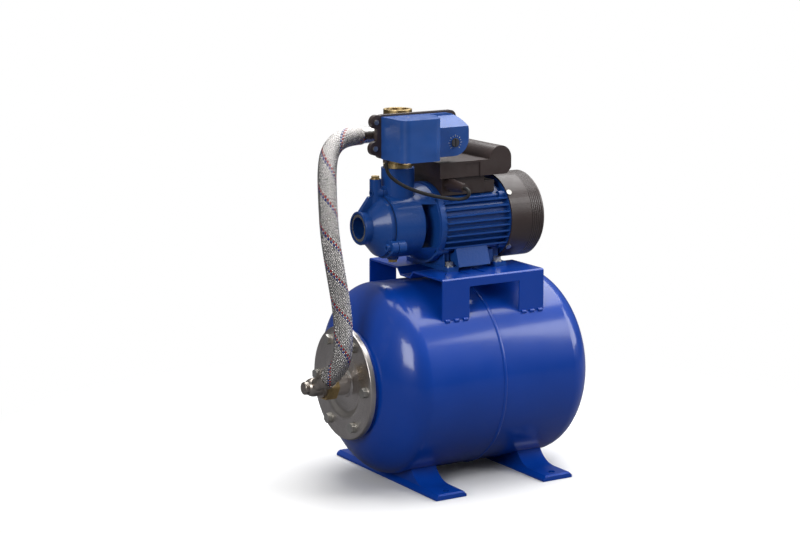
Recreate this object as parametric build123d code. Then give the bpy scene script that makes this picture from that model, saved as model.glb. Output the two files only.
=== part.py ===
from build123d import *
import os
from math import cos, hypot, pi, radians, sin, sqrt, tan

# Booster pump set: a close-coupled centrifugal pump and its motor stand on a platform welded to a
# horizontal pressure tank, with a brass outlet fitting, a pressure switch and a braided hose.
# Millimetres. +Z up, X along the shaft and the tank, the suction port faces -X, the switch -Y.
# The origin is on the floor under the middle of the whole set.

# ---------------------------------------------------------------- tank
tank_radius = 135.0
tank_length = 362.0
tank_axis_z = 146.0
dome_depth = 65.0
tank_wall = 1.8
seam_gap = 0.4
seam_width = 6.0
seam_height = 1.2

# ---------------------------------------------------------------- tank flange and air valve
plate_radius = 80.0
plate_sheet = 2.0
plate_proud = 2.0
rim_turn = 8.0
dish_depth = 6.5
dish_outer_radius = 50.0
dish_inner_radius = 39.0
collar_thickness = 3.0
opening_radius = 52.0
flange_ring_radius = 77.0
flange_ring_depth = 10.0
flange_bolt_circle = 65.0
flange_bolt_count = 6
flange_bolt_radius = 4.0
flange_bolt_flats = 13.0
flange_bolt_head = 6.5
flange_bolt_grip = 8.0
neck_radius = 16.5
neck_bore = 12.0
neck_show = 14.0
neck_thread = 13.5
bag_radius = 118.0
bag_length = 300.0
bag_wall = 2.0
bag_end_depth = 60.0
valve_reach = 12.0
valve_boss_radius = 9.0
valve_stem_radius = 4.0
valve_pin_radius = 0.9
valve_pin_bore = 1.0
valve_cap_radius = 15.0
valve_cap_wall = 1.6

# ---------------------------------------------------------------- tank feet
foot_spacing = 178.0
foot_width = 49.0
foot_span = 272.6
foot_sheet = 2.5
foot_pad_height = 8.0
foot_pad_length = 36.0
foot_rise_y = 62.0
foot_rise_z = 30.0
foot_flare = 4.5
floor_hole_spacing = 242.0
floor_hole_radius = 5.0

# ---------------------------------------------------------------- platform
platform_top = 297.0
platform_length = 167.6
platform_width = 196.0
platform_sheet = 3.0
platform_offset = 3.8
trough_width = 40.0
trough_floor = 24.0
trough_depth = 9.0
leg_front_length = 44.0
leg_rear_length = 41.0
window_drop = 13.5
weld_bead_radius = 2.6
weld_bead_length = 7.0
beads_per_leg = 3
slot_length = 34.0
slot_width = 7.0
slot_edge = 21.0
slot_places = (-29.0, -3.0)

# ---------------------------------------------------------------- pump
pump_offset = 92.0
shaft_height = 64.0
port_bore = 15.15
port_boss_radius = 23.0
port_thread_depth = 20.0
port_ring_step = 1.2
suction_reach = 64.0
suction_boss_length = 12.0
cone_radius = 42.0
casing_front = 27.0
casing_back = 11.0
casing_radius = 45.0
casing_wall = 5.0
boss_root = 33.0
casing_back_wall = 6.0
cover_flange = 6.0
gasket_thickness = 1.0
ear_angles = (90.0, 210.0, 330.0)
ear_radius = 9.0
ear_circle = 47.0
casing_bolt_radius = 3.0
casing_bolt_head_radius = 5.0
casing_bolt_head = 6.0
outlet_height = 80.0
outlet_channel = 11.0
outlet_channel_offset = 7.0
priming_offset = 36.0
priming_height = 66.0
priming_boss_radius = 8.0
priming_plug_radius = 5.5
priming_flats = 11.0
drain_boss_radius = 8.0
drain_plug_radius = 5.0
drain_offset = 8.0

# ---------------------------------------------------------------- impeller, shaft and seal
impeller_radius = 35.0
impeller_width = 11.0
impeller_eye_radius = 14.0
eye_wall = 3.0
eye_clearance = 0.3
throat_wall = 3.5
throat_length = 11.0
impeller_gap = 1.5
shroud = 2.0
blade_count = 6
blade_sheet = 2.2
shaft_radius = 6.0
shaft_body_radius = 7.5
shaft_clearance = 0.05
impeller_nut_flats = 13.0
impeller_nut_height = 6.0
seal_seat_radius = 13.0
seal_seat_length = 5.0
seal_head_radius = 11.0
seal_head_length = 8.0
slinger_radius = 13.0
slinger_sheet = 2.5

# ---------------------------------------------------------------- bearings
bearing_outer = 16.0
bearing_bore = 6.0
bearing_width = 10.0
race_wall = 2.6
ball_count = 7
ball_clearance = 0.25

# ---------------------------------------------------------------- bracket and motor
bracket_length = 35.0
bracket_flange = 9.0
bracket_flange_radius = 57.0
bracket_wall = 7.0
bracket_window_low = 30.0
bracket_window_high = 31.0
bracket_window_margin = 1.0
motor_length = 104.0
frame_radius = 52.0
frame_wall = 4.0
fin_tip_radius = 59.0
fin_pitch = 9.0
fins_per_side = 8
fin_sheet = 2.2
tie_y = 39.0
tie_z = 35.0
tie_radius = 2.5
tie_lug = 5.5
tie_lug_length = 10.0
tie_head_radius = 4.4
tie_head = 4.0
shield_clearance = 0.1
stator_length = 58.0
stator_bore_radius = 28.0
air_gap = 0.4
slot_count = 24
winding_overhang = 14.0
shield_thickness = 7.0
bearing_boss_wall = 4.0
fan_cover_length = 47.0
fan_cover_radius = 60.6
fan_cover_wall = 2.0
fan_rim_length = 6.0
fan_rim_step = 3.4
grille_slot_count = 24
grille_inner = 20.0
grille_outer = 50.0
fan_radius = 52.0
fan_blades = 8
fan_hub_radius = 12.0
fan_disc = 2.0
fan_length = 22.0
cover_screw_angles = (39.0, 141.0, 219.0, 321.0)
cover_screw_radius = 2.0
cover_screw_head = 4.0
cover_screw_depth = 3.2

# ---------------------------------------------------------------- motor foot
foot_centre = 97.0
foot_bolt_x = 80.0
foot_bolt_y = 88.0
foot_pad = 6.0
foot_pad_width = 19.0
foot_pad_reach = 9.5
foot_bolt_radius = 3.0
foot_bolt_flats = 10.0
foot_bolt_head = 5.0
washer_radius = 6.5
washer_thickness = 1.4
saddle_half_width = 34.0
saddle_length = 96.0
gusset_thickness = 11.0
gusset_places = (-48.0, 25.0)
name_plate_length = 52.0
name_plate_start = 32.5
name_plate_top = 33.0
name_plate_sheet = 3.0
name_plate_lean = 9.0

# ---------------------------------------------------------------- terminal box
pedestal_front = 47.0
pedestal_length = 70.0
lug_clearance = 0.3
pedestal_half_width = 40.0
pedestal_height = 66.0
pedestal_step_length = 18.0
pedestal_step_drop = 9.0
pedestal_wall = 4.0
box_front = 39.0
box_length = 118.0
box_half_width = 48.0
box_height = 22.0
box_wall = 2.0
box_recess_start = 42.0
box_recess_length = 24.0
box_recess_depth = 2.0
bulge_radius = 18.0
capacitor_radius = 14.0
capacitor_length = 66.0
terminal_block_size = (40.0, 30.0, 12.0)
motor_gland_x = 59.0
motor_gland_z = 56.0
motor_gland_reach = 39.0
motor_gland_radius = 9.0
motor_gland_tip = 6.0

# ---------------------------------------------------------------- outlet fitting
fitting_radius = 17.0
fitting_bore = 11.0
fitting_top_radius = 19.8
fitting_top_length = 15.0
fitting_height = 161.0
fitting_port_z = 128.0
fitting_collar = 6.0
fitting_collar_radius = 20.0
fitting_thread = 15.0
fitting_thread_clearance = 0.05
side_port_radius = 12.5
side_port_reach = 23.0
side_thread_radius = 9.5
side_thread_length = 9.0
side_bore = 6.5
switch_port_radius = 9.0
switch_flange_radius = 19.0
switch_flange = 3.0
switch_port_reach = 25.0
switch_bore = 3.0

# ---------------------------------------------------------------- pressure switch
base_thickness = 8.0
base_left = 54.5
base_right = 74.0
base_low = 29.5
base_high = 30.5
lobe_radius = 9.5
upper_lobe = (52.5, 21.0)
lower_lobe = (54.0, -15.0)
cover_left = 46.0
cover_right = 78.0
cover_low = 29.5
cover_high = 28.0
cover_front = 92.0
dial_plane = 60.0
dial_start = 32.0
block_end = 4.0
cover_wall = 2.2
corner_round = 12.0
end_round = 24.0
chamfer_low = 10.0
chamfer_top = 25.0
chamfer_run = 20.0
dial_x = 55.5
dial_z = -11.0
screw_head_radius = 6.0
screw_head_reach = 1.5
screw_head_thickness = 4.0
screw_shank_radius = 3.0
screw_clearance = 0.15
screw_slot_width = 1.4
screw_slot_depth = 1.2
diaphragm_thickness = 1.2
plunger_radius = 2.8
plunger_length = 30.0
plunger_travel = 2.0
micro_switch_size = (30.0, 18.0, 18.0)
lead_gland_radius = 4.5
lead_gland_length = 4.5
base_screw_radius = 2.0
base_screw_head = 3.6

# ---------------------------------------------------------------- hose line
hose_diameter = 26.0
lead_diameter = 5.0
upper_nut_flats = 27.0
upper_nut_length = 14.0
upper_ferrule_radius = 11.3
upper_ferrule_ring = 12.6
upper_ferrule_ring_length = 2.0
ferrule_bore = 6.5
union_nut_flats = 37.0
union_nut_length = 17.0
elbow_collar_radius = 16.0
elbow_collar_length = 4.5
elbow_radius = 13.0
elbow_length = 17.0
elbow_centre_inset = 14.0
stub_radius = 9.0
stub_length = 8.5
elbow_leg = (7.0, -24.0, 16.0)
leg_radius = 9.5
leg_neck_length = 20.0
cup_start = 26.0
cup_radius = 14.5
cup_lip = 5.0
cup_clearance = 0.5
elbow_bore = 7.5
hose_points = [
    (-126.5, 0.0, 489.0),
    (-152.0, 0.0, 489.0),
    (-178.0, -8.0, 475.0),
    (-191.0, -21.0, 450.0),
    (-198.0, -35.0, 412.0),
    (-202.0, -47.0, 365.0),
    (-196.0, -53.0, 312.0),
    (-187.0, -54.0, 262.0),
    (-186.0, -56.0, 218.0),
    (-187.8, -50.4, 179.6),
    (-195.5, -24.0, 162.0),
]
lead_points = [
    (-108.0, -38.0, 455.0),
    (-108.0, -38.0, 441.0),
    (-93.0, -42.0, 427.0),
    (-73.0, -48.0, 416.0),
    (-50.0, -56.0, 408.0),
    (-29.0, -68.0, 403.0),
    (-13.0, -81.0, 402.0),
    (-6.5, -90.0, 408.0),
    (-7.5, -88.0, 417.0),
    (-7.5, -79.0, 417.0),
]

# ---------------------------------------------------------------- stations worked out from the above
elbow_reach = elbow_collar_length + elbow_length + stub_length
front_reach = tank_length / 2 + plate_proud + neck_show + union_nut_length + elbow_reach
back_reach = tank_length / 2 + valve_reach
tank_x = (front_reach - back_reach) / 2
tank_front = tank_x - tank_length / 2
tank_back = tank_x + tank_length / 2
plate_x = tank_front - plate_proud
platform_x = tank_x + platform_offset
platform_front = platform_x - platform_length / 2
platform_back = platform_x + platform_length / 2
platform_half = platform_width / 2
pump_x = tank_x - pump_offset
shaft_z = platform_top + shaft_height
suction_x = pump_x - suction_reach
casing_x0 = pump_x - casing_front
casing_x1 = pump_x + casing_back
outlet_z = shaft_z + outlet_height
bracket_x1 = casing_x1 + bracket_length
frame_x0 = bracket_x1
frame_x1 = frame_x0 + motor_length
shield_x1 = frame_x1 + shield_thickness
fan_cover_x1 = shield_x1 + fan_cover_length
fan_rim_x1 = fan_cover_x1 + fan_rim_length
front_bearing_x = bracket_x1 - bearing_width / 2
rear_bearing_x = shield_x1 - bearing_width / 2 - 2.0
motor_foot_x = pump_x + foot_centre
pedestal_x0 = pump_x + pedestal_front
pedestal_x1 = pedestal_x0 + pedestal_length
pedestal_z1 = shaft_z + pedestal_height
box_x0 = pump_x + box_front
box_x1 = box_x0 + box_length
box_z1 = pedestal_z1 + box_height
port_z = shaft_z + fitting_port_z
fitting_top_z = shaft_z + fitting_height
base_y0 = -switch_port_reach
base_y1 = base_y0 - base_thickness

LOW = (Align.CENTER, Align.CENTER, Align.MIN)


# ---------------------------------------------------------------- helpers
def rod_x(radius, x0, x1, y=0.0, z=0.0):
    """Round bar along X."""
    return Pos(x0, y, z) * Rot(0, 90, 0) * Cylinder(radius, x1 - x0, align=LOW)


def rod_y(radius, y0, y1, x=0.0, z=0.0):
    """Round bar along Y."""
    return Pos(x, y0, z) * Rot(-90, 0, 0) * Cylinder(radius, y1 - y0, align=LOW)


def rod_z(radius, z0, z1, x=0.0, y=0.0):
    """Round bar along Z."""
    return Pos(x, y, z0) * Cylinder(radius, z1 - z0, align=LOW)


def tube_x(outer, inner, x0, x1, y=0.0, z=0.0):
    """Ring or tube along X."""
    return rod_x(outer, x0, x1, y, z) - rod_x(inner, x0, x1, y, z)


def block(x0, x1, y0, y1, z0, z1):
    """Box between two corners."""
    middle = Pos((x0 + x1) / 2, (y0 + y1) / 2, (z0 + z1) / 2)
    return middle * Box(x1 - x0, y1 - y0, z1 - z0)


def hexagon(flats, height):
    """Hexagonal prism standing on z = 0."""
    return extrude(RegularPolygon(flats / 2, 6, major_radius=False), height)


def hex_x(flats, x0, x1, y=0.0, z=0.0, turn=0.0):
    """Hexagonal bar along X, turned about its axis."""
    return Pos(x0, y, z) * Rot(turn, 0, 0) * Rot(0, 90, 0) * hexagon(flats, x1 - x0)


def hex_z(flats, z0, z1, x=0.0, y=0.0):
    """Hexagonal bar along Z."""
    return Pos(x, y, z0) * hexagon(flats, z1 - z0)


def turned_x(points, y=0.0, z=0.0):
    """Solid turned about an axis along X from (x, radius) corners."""
    profile = make_face(Polyline(*points, close=True))
    return Pos(0, y, z) * revolve(profile, Axis.X, 360)


def slab_y(points, y0, y1):
    """Solid with (x, z) corners, running from y0 to y1."""
    profile = make_face(Polyline(*[(x, 0, z) for x, z in points], close=True))
    return Pos(0, y0, 0) * extrude(profile, y1 - y0, dir=(0, 1, 0))


def slab_x(points, x0, x1):
    """Solid with (y, z) corners, running from x0 to x1."""
    profile = make_face(Polyline(*[(0, y, z) for y, z in points], close=True))
    return Pos(x0, 0, 0) * extrude(profile, x1 - x0, dir=(1, 0, 0))


def around_shaft(angle, radius):
    """(y, z) at a radius from the shaft; 90 degrees is straight up."""
    return radius * cos(radians(angle)), shaft_z + radius * sin(radians(angle))


def tie_places():
    """(y, z) of the four long motor screws."""
    return [(sy * tie_y, shaft_z + sz * tie_z) for sy in (-1, 1) for sz in (-1, 1)]


def foot_bolt_places():
    """(x, y) of the four screws that hold the motor foot."""
    return [
        (motor_foot_x + sx * foot_bolt_x / 2, sy * foot_bolt_y / 2) for sx in (-1, 1) for sy in (-1, 1)
    ]


def solids_of(shapes):
    """Flat list of the solids in a shape or a list of shapes."""
    if isinstance(shapes, (list, tuple)):
        return [solid for shape in shapes for solid in solids_of(shape)]
    return list(shapes.solids())


# ---------------------------------------------------------------- tank
def tank_form(inset):
    """The closed shape of the tank, moved inwards by the inset."""
    radius = tank_radius - inset
    depth = dome_depth - inset
    left = tank_front + dome_depth
    right = tank_back - dome_depth
    outline = Wire(
        [
            EllipticalCenterArc((left, 0), depth, radius, start_angle=90, arc_size=90),
            Line((left - depth, 0), (right + depth, 0)),
            EllipticalCenterArc((right, 0), depth, radius, start_angle=0, arc_size=90),
            Line((right, radius), (left, radius)),
        ]
    )
    return Pos(0, 0, tank_axis_z) * revolve(make_face(outline), Axis.X, 360)


def tank_shells():
    """The two pressed halves: flange opening in front, valve hole at the back."""
    shell = tank_form(0) - tank_form(tank_wall)
    shell -= rod_x(opening_radius, tank_front - 5, tank_front + dome_depth, 0, tank_axis_z)
    shell -= rod_x(valve_stem_radius, tank_back - 20, tank_back + 5, 0, tank_axis_z)
    reach = tank_radius + 10
    far = tank_length
    front_half = block(tank_x - far, tank_x - seam_gap / 2, -reach, reach, -reach, far)
    rear_half = block(tank_x + seam_gap / 2, tank_x + far, -reach, reach, -reach, far)
    return shell & front_half, shell & rear_half


def tank_weld_seam():
    """Round weld bead over the joint between the halves."""
    half = seam_width / 2
    bead = Wire(
        [
            Line((tank_x - half, tank_radius), (tank_x + half, tank_radius)),
            ThreePointArc(
                (tank_x + half, tank_radius),
                (tank_x, tank_radius + seam_height),
                (tank_x - half, tank_radius),
            ),
        ]
    )
    return Pos(0, 0, tank_axis_z) * revolve(make_face(bead), Axis.X, 360)


def foot_solid(x, inset):
    """Outer or inner form of a pressed foot, flared towards the floor."""
    half = foot_span / 2 - inset
    pad = foot_pad_height - inset
    pad_end = foot_span / 2 - foot_pad_length
    rise_y = foot_rise_y - inset
    rise_z = foot_rise_z - inset
    right = [Line((half, 0), (half, pad - 2)), Line((half, pad - 2), (half - 2, pad))]
    right += [Line((half - 2, pad), (pad_end, pad))]
    right += [Spline((pad_end, pad), (rise_y, rise_z), tangents=((-1, 0), (-0.6, 1)))]
    edges = [Line((-half, 0), (half, 0)), *right, Line((rise_y, rise_z), (-rise_y, rise_z))]
    edges += [edge.mirror(Plane.YZ) for edge in right]
    face = Plane.YZ * make_face(Wire(edges))
    width = foot_width - 2 * inset
    body = Pos(x - width / 2, 0, 0) * extrude(face, width, dir=(1, 0, 0))
    top = width / 2 - foot_flare
    side = [(-width / 2, 0), (-width / 2, 3 - inset / 2), (-top, pad), (-top, 60)]
    outline = [(x + u, w) for u, w in side] + [(x - u, w) for u, w in reversed(side)]
    return body & slab_y(outline, -foot_span, foot_span)


def tank_foot(x):
    """Pressed saddle foot: thin, open below, fitted to the tank, with a floor hole at each end."""
    tank = rod_x(tank_radius, x - foot_width, x + foot_width, 0, tank_axis_z)
    thick_tank = rod_x(tank_radius + foot_sheet, x - foot_width, x + foot_width, 0, tank_axis_z)
    outer = foot_solid(x, 0) - tank
    inner = foot_solid(x, foot_sheet) - thick_tank
    foot = outer - inner
    for side in (-1, 1):
        foot -= rod_z(floor_hole_radius, -1, foot_pad_height + 1, x, side * floor_hole_spacing / 2)
    return foot


def tank_membrane():
    """Rubber bag that holds the water, with its collar clamped in the flange."""
    bag_x0 = plate_x + plate_sheet
    neck_out = opening_radius - 0.5
    neck_in = neck_out - bag_wall
    centre = bag_x0 + 12 + bag_end_depth
    back = bag_x0 + bag_length - bag_end_depth

    def form(inset):
        radius = bag_radius - inset
        depth = bag_end_depth - inset
        outline = Wire(
            [
                EllipticalCenterArc((centre, 0), depth, radius, start_angle=90, arc_size=90),
                Line((centre - depth, 0), (back + depth, 0)),
                EllipticalCenterArc((back, 0), depth, radius, start_angle=0, arc_size=90),
                Line((back, radius), (centre, radius)),
            ]
        )
        return Pos(0, 0, tank_axis_z) * revolve(make_face(outline), Axis.X, 360)

    outer = form(0) + rod_x(neck_out, bag_x0, centre, 0, tank_axis_z)
    outer += rod_x(opening_radius + 6, bag_x0, bag_x0 + collar_thickness, 0, tank_axis_z)
    inner = form(bag_wall) + rod_x(neck_in, bag_x0, centre, 0, tank_axis_z)
    dish = rod_x(dish_outer_radius + plate_sheet, bag_x0, bag_x0 + dish_depth, 0, tank_axis_z)
    return outer - inner - (dish & rod_x(dish_outer_radius + 0.2, bag_x0, bag_x0 + 9, 0, tank_axis_z))


def flange_ring():
    """Ring welded to the front dome that the flange screws hold in."""
    x0 = plate_x + plate_sheet + collar_thickness
    ring = tube_x(flange_ring_radius, opening_radius, x0, x0 + flange_ring_depth, 0, tank_axis_z)
    ring -= tank_form(0)
    for y, z in flange_bolt_places():
        ring -= rod_x(flange_bolt_radius, x0 - 1, x0 + 30, y, z)
    return ring


def flange_bolt_places():
    """(y, z) of the screws round the tank flange."""
    step = 360.0 / flange_bolt_count
    return [
        (
            flange_bolt_circle * cos(radians(step * i)),
            tank_axis_z + flange_bolt_circle * sin(radians(step * i)),
        )
        for i in range(flange_bolt_count)
    ]


def flange_plate():
    """Stainless plate: turned-back rim, dished centre and the threaded neck."""
    x = plate_x
    s = plate_sheet
    deep = x + dish_depth
    rim = plate_radius
    outer = [(x, dish_outer_radius), (x, rim - 3), (x + 0.9, rim - 0.9), (x + 3, rim), (x + rim_turn, rim)]
    inner = [(x + rim_turn, rim - s), (x + 4, rim - s), (x + s, rim - s - 2), (x + s, dish_outer_radius)]
    centre_back = [(deep + s, dish_inner_radius - 1), (deep + s, neck_bore)]
    neck = [(x - neck_show - neck_thread, neck_bore), (x - neck_show - neck_thread, neck_radius)]
    root = [(deep - 2.5, neck_radius), (deep - 2.5, neck_radius + 1.5), (deep, neck_radius + 4)]
    points = outer + inner + centre_back + neck + root + [(deep, dish_inner_radius)]
    plate = turned_x(points, 0, tank_axis_z)
    for y, z in flange_bolt_places():
        plate -= rod_x(flange_bolt_radius + 0.3, x - 1, x + s + 1, y, z)
    return plate


def flange_bolts():
    """Hex screws round the flange."""
    head_x = plate_x - flange_bolt_head
    bolts = []
    for y, z in flange_bolt_places():
        washer = rod_x(flange_bolt_flats * 0.6, plate_x - 1.2, plate_x, y, z)
        head = hex_x(flange_bolt_flats, head_x, plate_x - 1.2, y, z)
        head &= rod_x(flange_bolt_flats * 0.555, head_x, plate_x, y, z)
        shank = rod_x(flange_bolt_radius - 0.05, plate_x - 1.2, plate_x + flange_bolt_grip, y, z)
        bolts.append(head + washer + shank)
    return bolts


def air_valve():
    """Brass valve body in the rear dome, bored for its pin."""
    x0 = tank_back - 14
    body = rod_x(valve_stem_radius - 0.05, x0, tank_back + 7, 0, tank_axis_z)
    body += tube_x(valve_boss_radius, 1.5, tank_back + 0.05, tank_back + 2.5, 0, tank_axis_z)
    body -= rod_x(2.6, tank_back + 1, tank_back + 8, 0, tank_axis_z)
    body -= rod_x(valve_pin_bore, x0 - 1, tank_back + 8, 0, tank_axis_z)
    return body


def air_valve_pin():
    """Valve pin that is pushed in to let air through."""
    return rod_x(valve_pin_radius, tank_back - 15.5, tank_back + 5.5, 0, tank_axis_z)


def air_valve_cap():
    """Plastic cap over the valve, with a knurl of shallow flats."""
    x1 = tank_back + valve_reach
    cap = rod_x(valve_cap_radius, tank_back + 1.0, x1, 0, tank_axis_z)
    cap = chamfer(cap.faces().sort_by(Axis.X)[-1].edges(), 1.5)
    cap -= rod_x(valve_cap_radius - valve_cap_wall, tank_back, x1 - valve_cap_wall, 0, tank_axis_z)
    cap -= tank_form(-0.02)
    socket = tube_x(valve_stem_radius + 2, valve_stem_radius + 0.05, tank_back + 3, x1 - 1, 0, tank_axis_z)
    return cap + socket


# ---------------------------------------------------------------- platform
def pump_platform():
    """Bent sheet: top with a trough along the middle, sides cut into two welded legs each."""
    t = platform_sheet
    top = platform_top
    floor_z = tank_axis_z
    half = platform_half
    out = [(-half, floor_z), (-half, top - 2), (-half + 2, top), (-trough_width / 2, top)]
    out += [(-trough_floor / 2, top - trough_depth), (trough_floor / 2, top - trough_depth)]
    out += [(trough_width / 2, top), (half - 2, top), (half, top - 2), (half, floor_z)]
    lean = t * 0.45
    inn = [(half - t, floor_z), (half - t, top - t), (trough_width / 2 + lean, top - t)]
    inn += [(trough_floor / 2 + lean, top - trough_depth - t)]
    inn += [(-trough_floor / 2 - lean, top - trough_depth - t)]
    inn += [(-trough_width / 2 - lean, top - t), (-half + t, top - t), (-half + t, floor_z)]
    sheet = slab_x(out + inn, platform_front, platform_back)
    window_x0 = platform_front + leg_front_length
    window_x1 = platform_back - leg_rear_length
    sheet -= block(window_x0, window_x1, -half - 1, half + 1, 0, top - window_drop)
    sheet -= rod_x(tank_radius, platform_front - 1, platform_back + 1, 0, tank_axis_z)
    for x, y in foot_bolt_places():
        sheet -= rod_z(foot_bolt_radius + 0.3, top - 20, top + 1, x, y)
    for x, y in top_slot_places():
        sheet -= block(x - slot_width / 2, x + slot_width / 2, y, y + slot_length, top - 20, top + 1)
    return sheet


def top_slot_places():
    """(x, y) of the near end of the slots left for other motor feet."""
    near = -platform_half + slot_edge
    far = platform_half - slot_edge - slot_length
    return [(motor_foot_x + dx, y) for dx in slot_places for y in (near, far)]


def platform_welds():
    """Weld beads that hold the legs to the tank."""
    rise = sqrt(tank_radius**2 - platform_half**2)
    spans = (
        (platform_front, platform_front + leg_front_length),
        (platform_back - leg_rear_length, platform_back),
    )
    beads = []
    for x0, x1 in spans:
        for side in (-1, 1):
            for i in range(beads_per_leg):
                x = x0 + (x1 - x0) * (i + 0.5) / beads_per_leg
                start = Pos(x - weld_bead_length / 2, side * (platform_half + 0.6), tank_axis_z + rise)
                bead = start * Rot(0, 90, 0) * Cylinder(weld_bead_radius, weld_bead_length, align=LOW)
                beads.append(bead - weld_limits(x, side))
    return beads


def weld_limits(x, side):
    """What a bead must not enter: the tank and the leg beside it."""
    tank = rod_x(tank_radius, x - 20, x + 20, 0, tank_axis_z)
    low, high = sorted((side * platform_half, side * (platform_half - 30)))
    return tank + block(x - 20, x + 20, low, high, tank_axis_z, platform_top)


# ---------------------------------------------------------------- pump
def suction_cover():
    """Cone with the suction port, its priming boss and three ears."""
    x0 = suction_x
    neck = x0 + suction_boss_length
    flange_x0 = casing_x0 - gasket_thickness - cover_flange
    x1 = casing_x0 - gasket_thickness
    outer = [(x0, 0), (x0, port_boss_radius - 1), (x0 + 1, port_boss_radius), (neck, port_boss_radius)]
    outer += [(flange_x0, cone_radius), (x1, cone_radius), (x1, 0)]
    cover = turned_x(outer, 0, shaft_z)
    top_y, top_z = around_shaft(90, priming_height)
    px = pump_x - priming_offset
    cover += rod_z(priming_boss_radius, shaft_z + 20, top_z, px, 0)
    rib = [(x0 + 2, shaft_z + 18), (x0 + 2, shaft_z + port_boss_radius), (px - 2, top_z - 12), (px - 2, shaft_z + 18)]
    cover += slab_y(rib, -3.5, 3.5)
    for angle in ear_angles:
        y, z = around_shaft(angle, ear_circle)
        inner_y, inner_z = around_shaft(angle, 30)
        ear = rod_x(ear_radius, flange_x0 - 3, x1, y, z)
        web = Pos(0, (y + inner_y) / 2, (z + inner_z) / 2) * Rot(angle, 0, 0)
        ear += web * block(flange_x0 - 3, x1, -9, 9, -ear_radius * 0.8, ear_radius * 0.8)
        cover += ear
    chamber = [(x0 - 1, 0), (x0 - 1, port_bore), (x0 + port_thread_depth, port_bore)]
    throat = impeller_eye_radius + eye_wall + eye_clearance
    chamber += [(x0 + port_thread_depth, port_bore - 1.5), (x1 - 6, throat), (x1 + 20, throat)]
    chamber += [(x1 + 20, 0)]
    cover += rod_x(throat + throat_wall, x1 - 2, x1 + throat_length, 0, shaft_z)
    cover -= turned_x(chamber, 0, shaft_z)
    cover -= tube_x(port_bore + 4.5, port_bore - 1, x0 - 1, x0 + port_ring_step, 0, shaft_z)
    cover -= rod_z(priming_plug_radius, shaft_z + 16, top_z + 1, px, 0)
    for angle in ear_angles:
        y, z = around_shaft(angle, ear_circle)
        cover -= rod_x(casing_bolt_radius + 0.2, flange_x0 - 5, x1 + 1, y, z)
        cover -= rod_x(casing_bolt_head_radius + 0.8, x0, flange_x0 - 3, y, z)
    return cover


def pump_casing():
    """Volute casing with the outlet boss on top and a wall for the shaft seal."""
    cavity_x1 = casing_x1 - casing_back_wall
    body = rod_x(casing_radius, casing_x0, casing_x1, 0, shaft_z)
    body += rod_z(port_boss_radius, shaft_z + boss_root, outlet_z, pump_x, 0)
    for angle in ear_angles:
        y, z = around_shaft(angle, ear_circle)
        body += rod_x(ear_radius, casing_x0, casing_x0 + 12, y, z)
    body += rod_z(drain_boss_radius, shaft_z - casing_radius - 3, shaft_z - 30, pump_x - drain_offset, 0)
    body -= rod_x(casing_radius - casing_wall, casing_x0 - 1, cavity_x1, 0, shaft_z)
    body -= rod_z(port_bore, outlet_z - port_thread_depth, outlet_z + 1, pump_x, 0)
    body -= rod_z(outlet_channel, shaft_z + 30, outlet_z - 5, pump_x - outlet_channel_offset, 0)
    body -= rod_x(seal_seat_radius, cavity_x1 - 1, cavity_x1 + seal_seat_length - 1, 0, shaft_z)
    body -= rod_x(shaft_body_radius + 1, cavity_x1, casing_x1 + 1, 0, shaft_z)
    body -= rod_z(drain_plug_radius, shaft_z - casing_radius - 4, shaft_z - 30, pump_x - drain_offset, 0)
    for angle in ear_angles:
        y, z = around_shaft(angle, ear_circle)
        body -= rod_x(casing_bolt_radius, casing_x0 - 1, casing_x0 + 13, y, z)
    return body


def casing_gasket():
    """Flat gasket between cover and casing."""
    return tube_x(
        cone_radius, casing_radius - casing_wall, casing_x0 - gasket_thickness, casing_x0, 0, shaft_z
    )


def casing_bolts():
    """Socket screws through the three ears."""
    head_x1 = casing_x0 - gasket_thickness - cover_flange - 3
    head_x0 = head_x1 - casing_bolt_head
    bolts = []
    for angle in ear_angles:
        y, z = around_shaft(angle, ear_circle)
        bolt = rod_x(casing_bolt_head_radius, head_x0, head_x1, y, z)
        bolt += rod_x(casing_bolt_radius - 0.05, head_x1, casing_x0 + 11, y, z)
        bolt -= hex_x(5.0, head_x0 - 1, head_x0 + 3.5, y, z)
        bolts.append(bolt)
    return bolts


def priming_plug():
    """Brass plug in the priming boss."""
    x = pump_x - priming_offset
    top = shaft_z + priming_height
    plug = rod_z(priming_plug_radius - 0.05, top - 10, top, x, 0)
    plug += rod_z(priming_boss_radius - 1.2, top, top + 1.2, x, 0)
    return plug + hex_z(priming_flats, top + 1.2, top + 4.5, x, 0)


def drain_plug():
    """Brass plug under the casing."""
    x = pump_x - drain_offset
    low = shaft_z - casing_radius - 3
    plug = rod_z(drain_plug_radius - 0.05, low, low + 8, x, 0)
    return plug + hex_z(12.0, low - 4, low, x, 0)


def impeller():
    """Closed impeller: two shrouds, curved blades, eye ring and hub."""
    x1 = casing_x1 - casing_back_wall - seal_seat_length - 3.0
    x0 = x1 - impeller_width
    wheel = rod_x(impeller_radius, x1 - shroud, x1, 0, shaft_z)
    wheel += tube_x(impeller_radius, impeller_eye_radius, x0, x0 + shroud, 0, shaft_z)
    wheel += tube_x(impeller_eye_radius + eye_wall, impeller_eye_radius, x0 - 5, x0 + shroud, 0, shaft_z)
    wheel += rod_x(shaft_radius + 4, x0 + 1, x1 + 2, 0, shaft_z)
    for i in range(blade_count):
        curve = CenterArc((0, impeller_radius * 0.57), impeller_radius * 0.485, -80, 120)
        piece = extrude(trace(curve, blade_sheet), impeller_width - 1)
        piece -= Cylinder(shaft_radius + 2, 40)
        wheel += Pos(x0 + 0.5, 0, shaft_z) * Rot(0, 90, 0) * Rot(0, 0, 360 / blade_count * i) * piece
    return wheel - rod_x(shaft_radius, x0 - 9, x1 + 9, 0, shaft_z)


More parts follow.
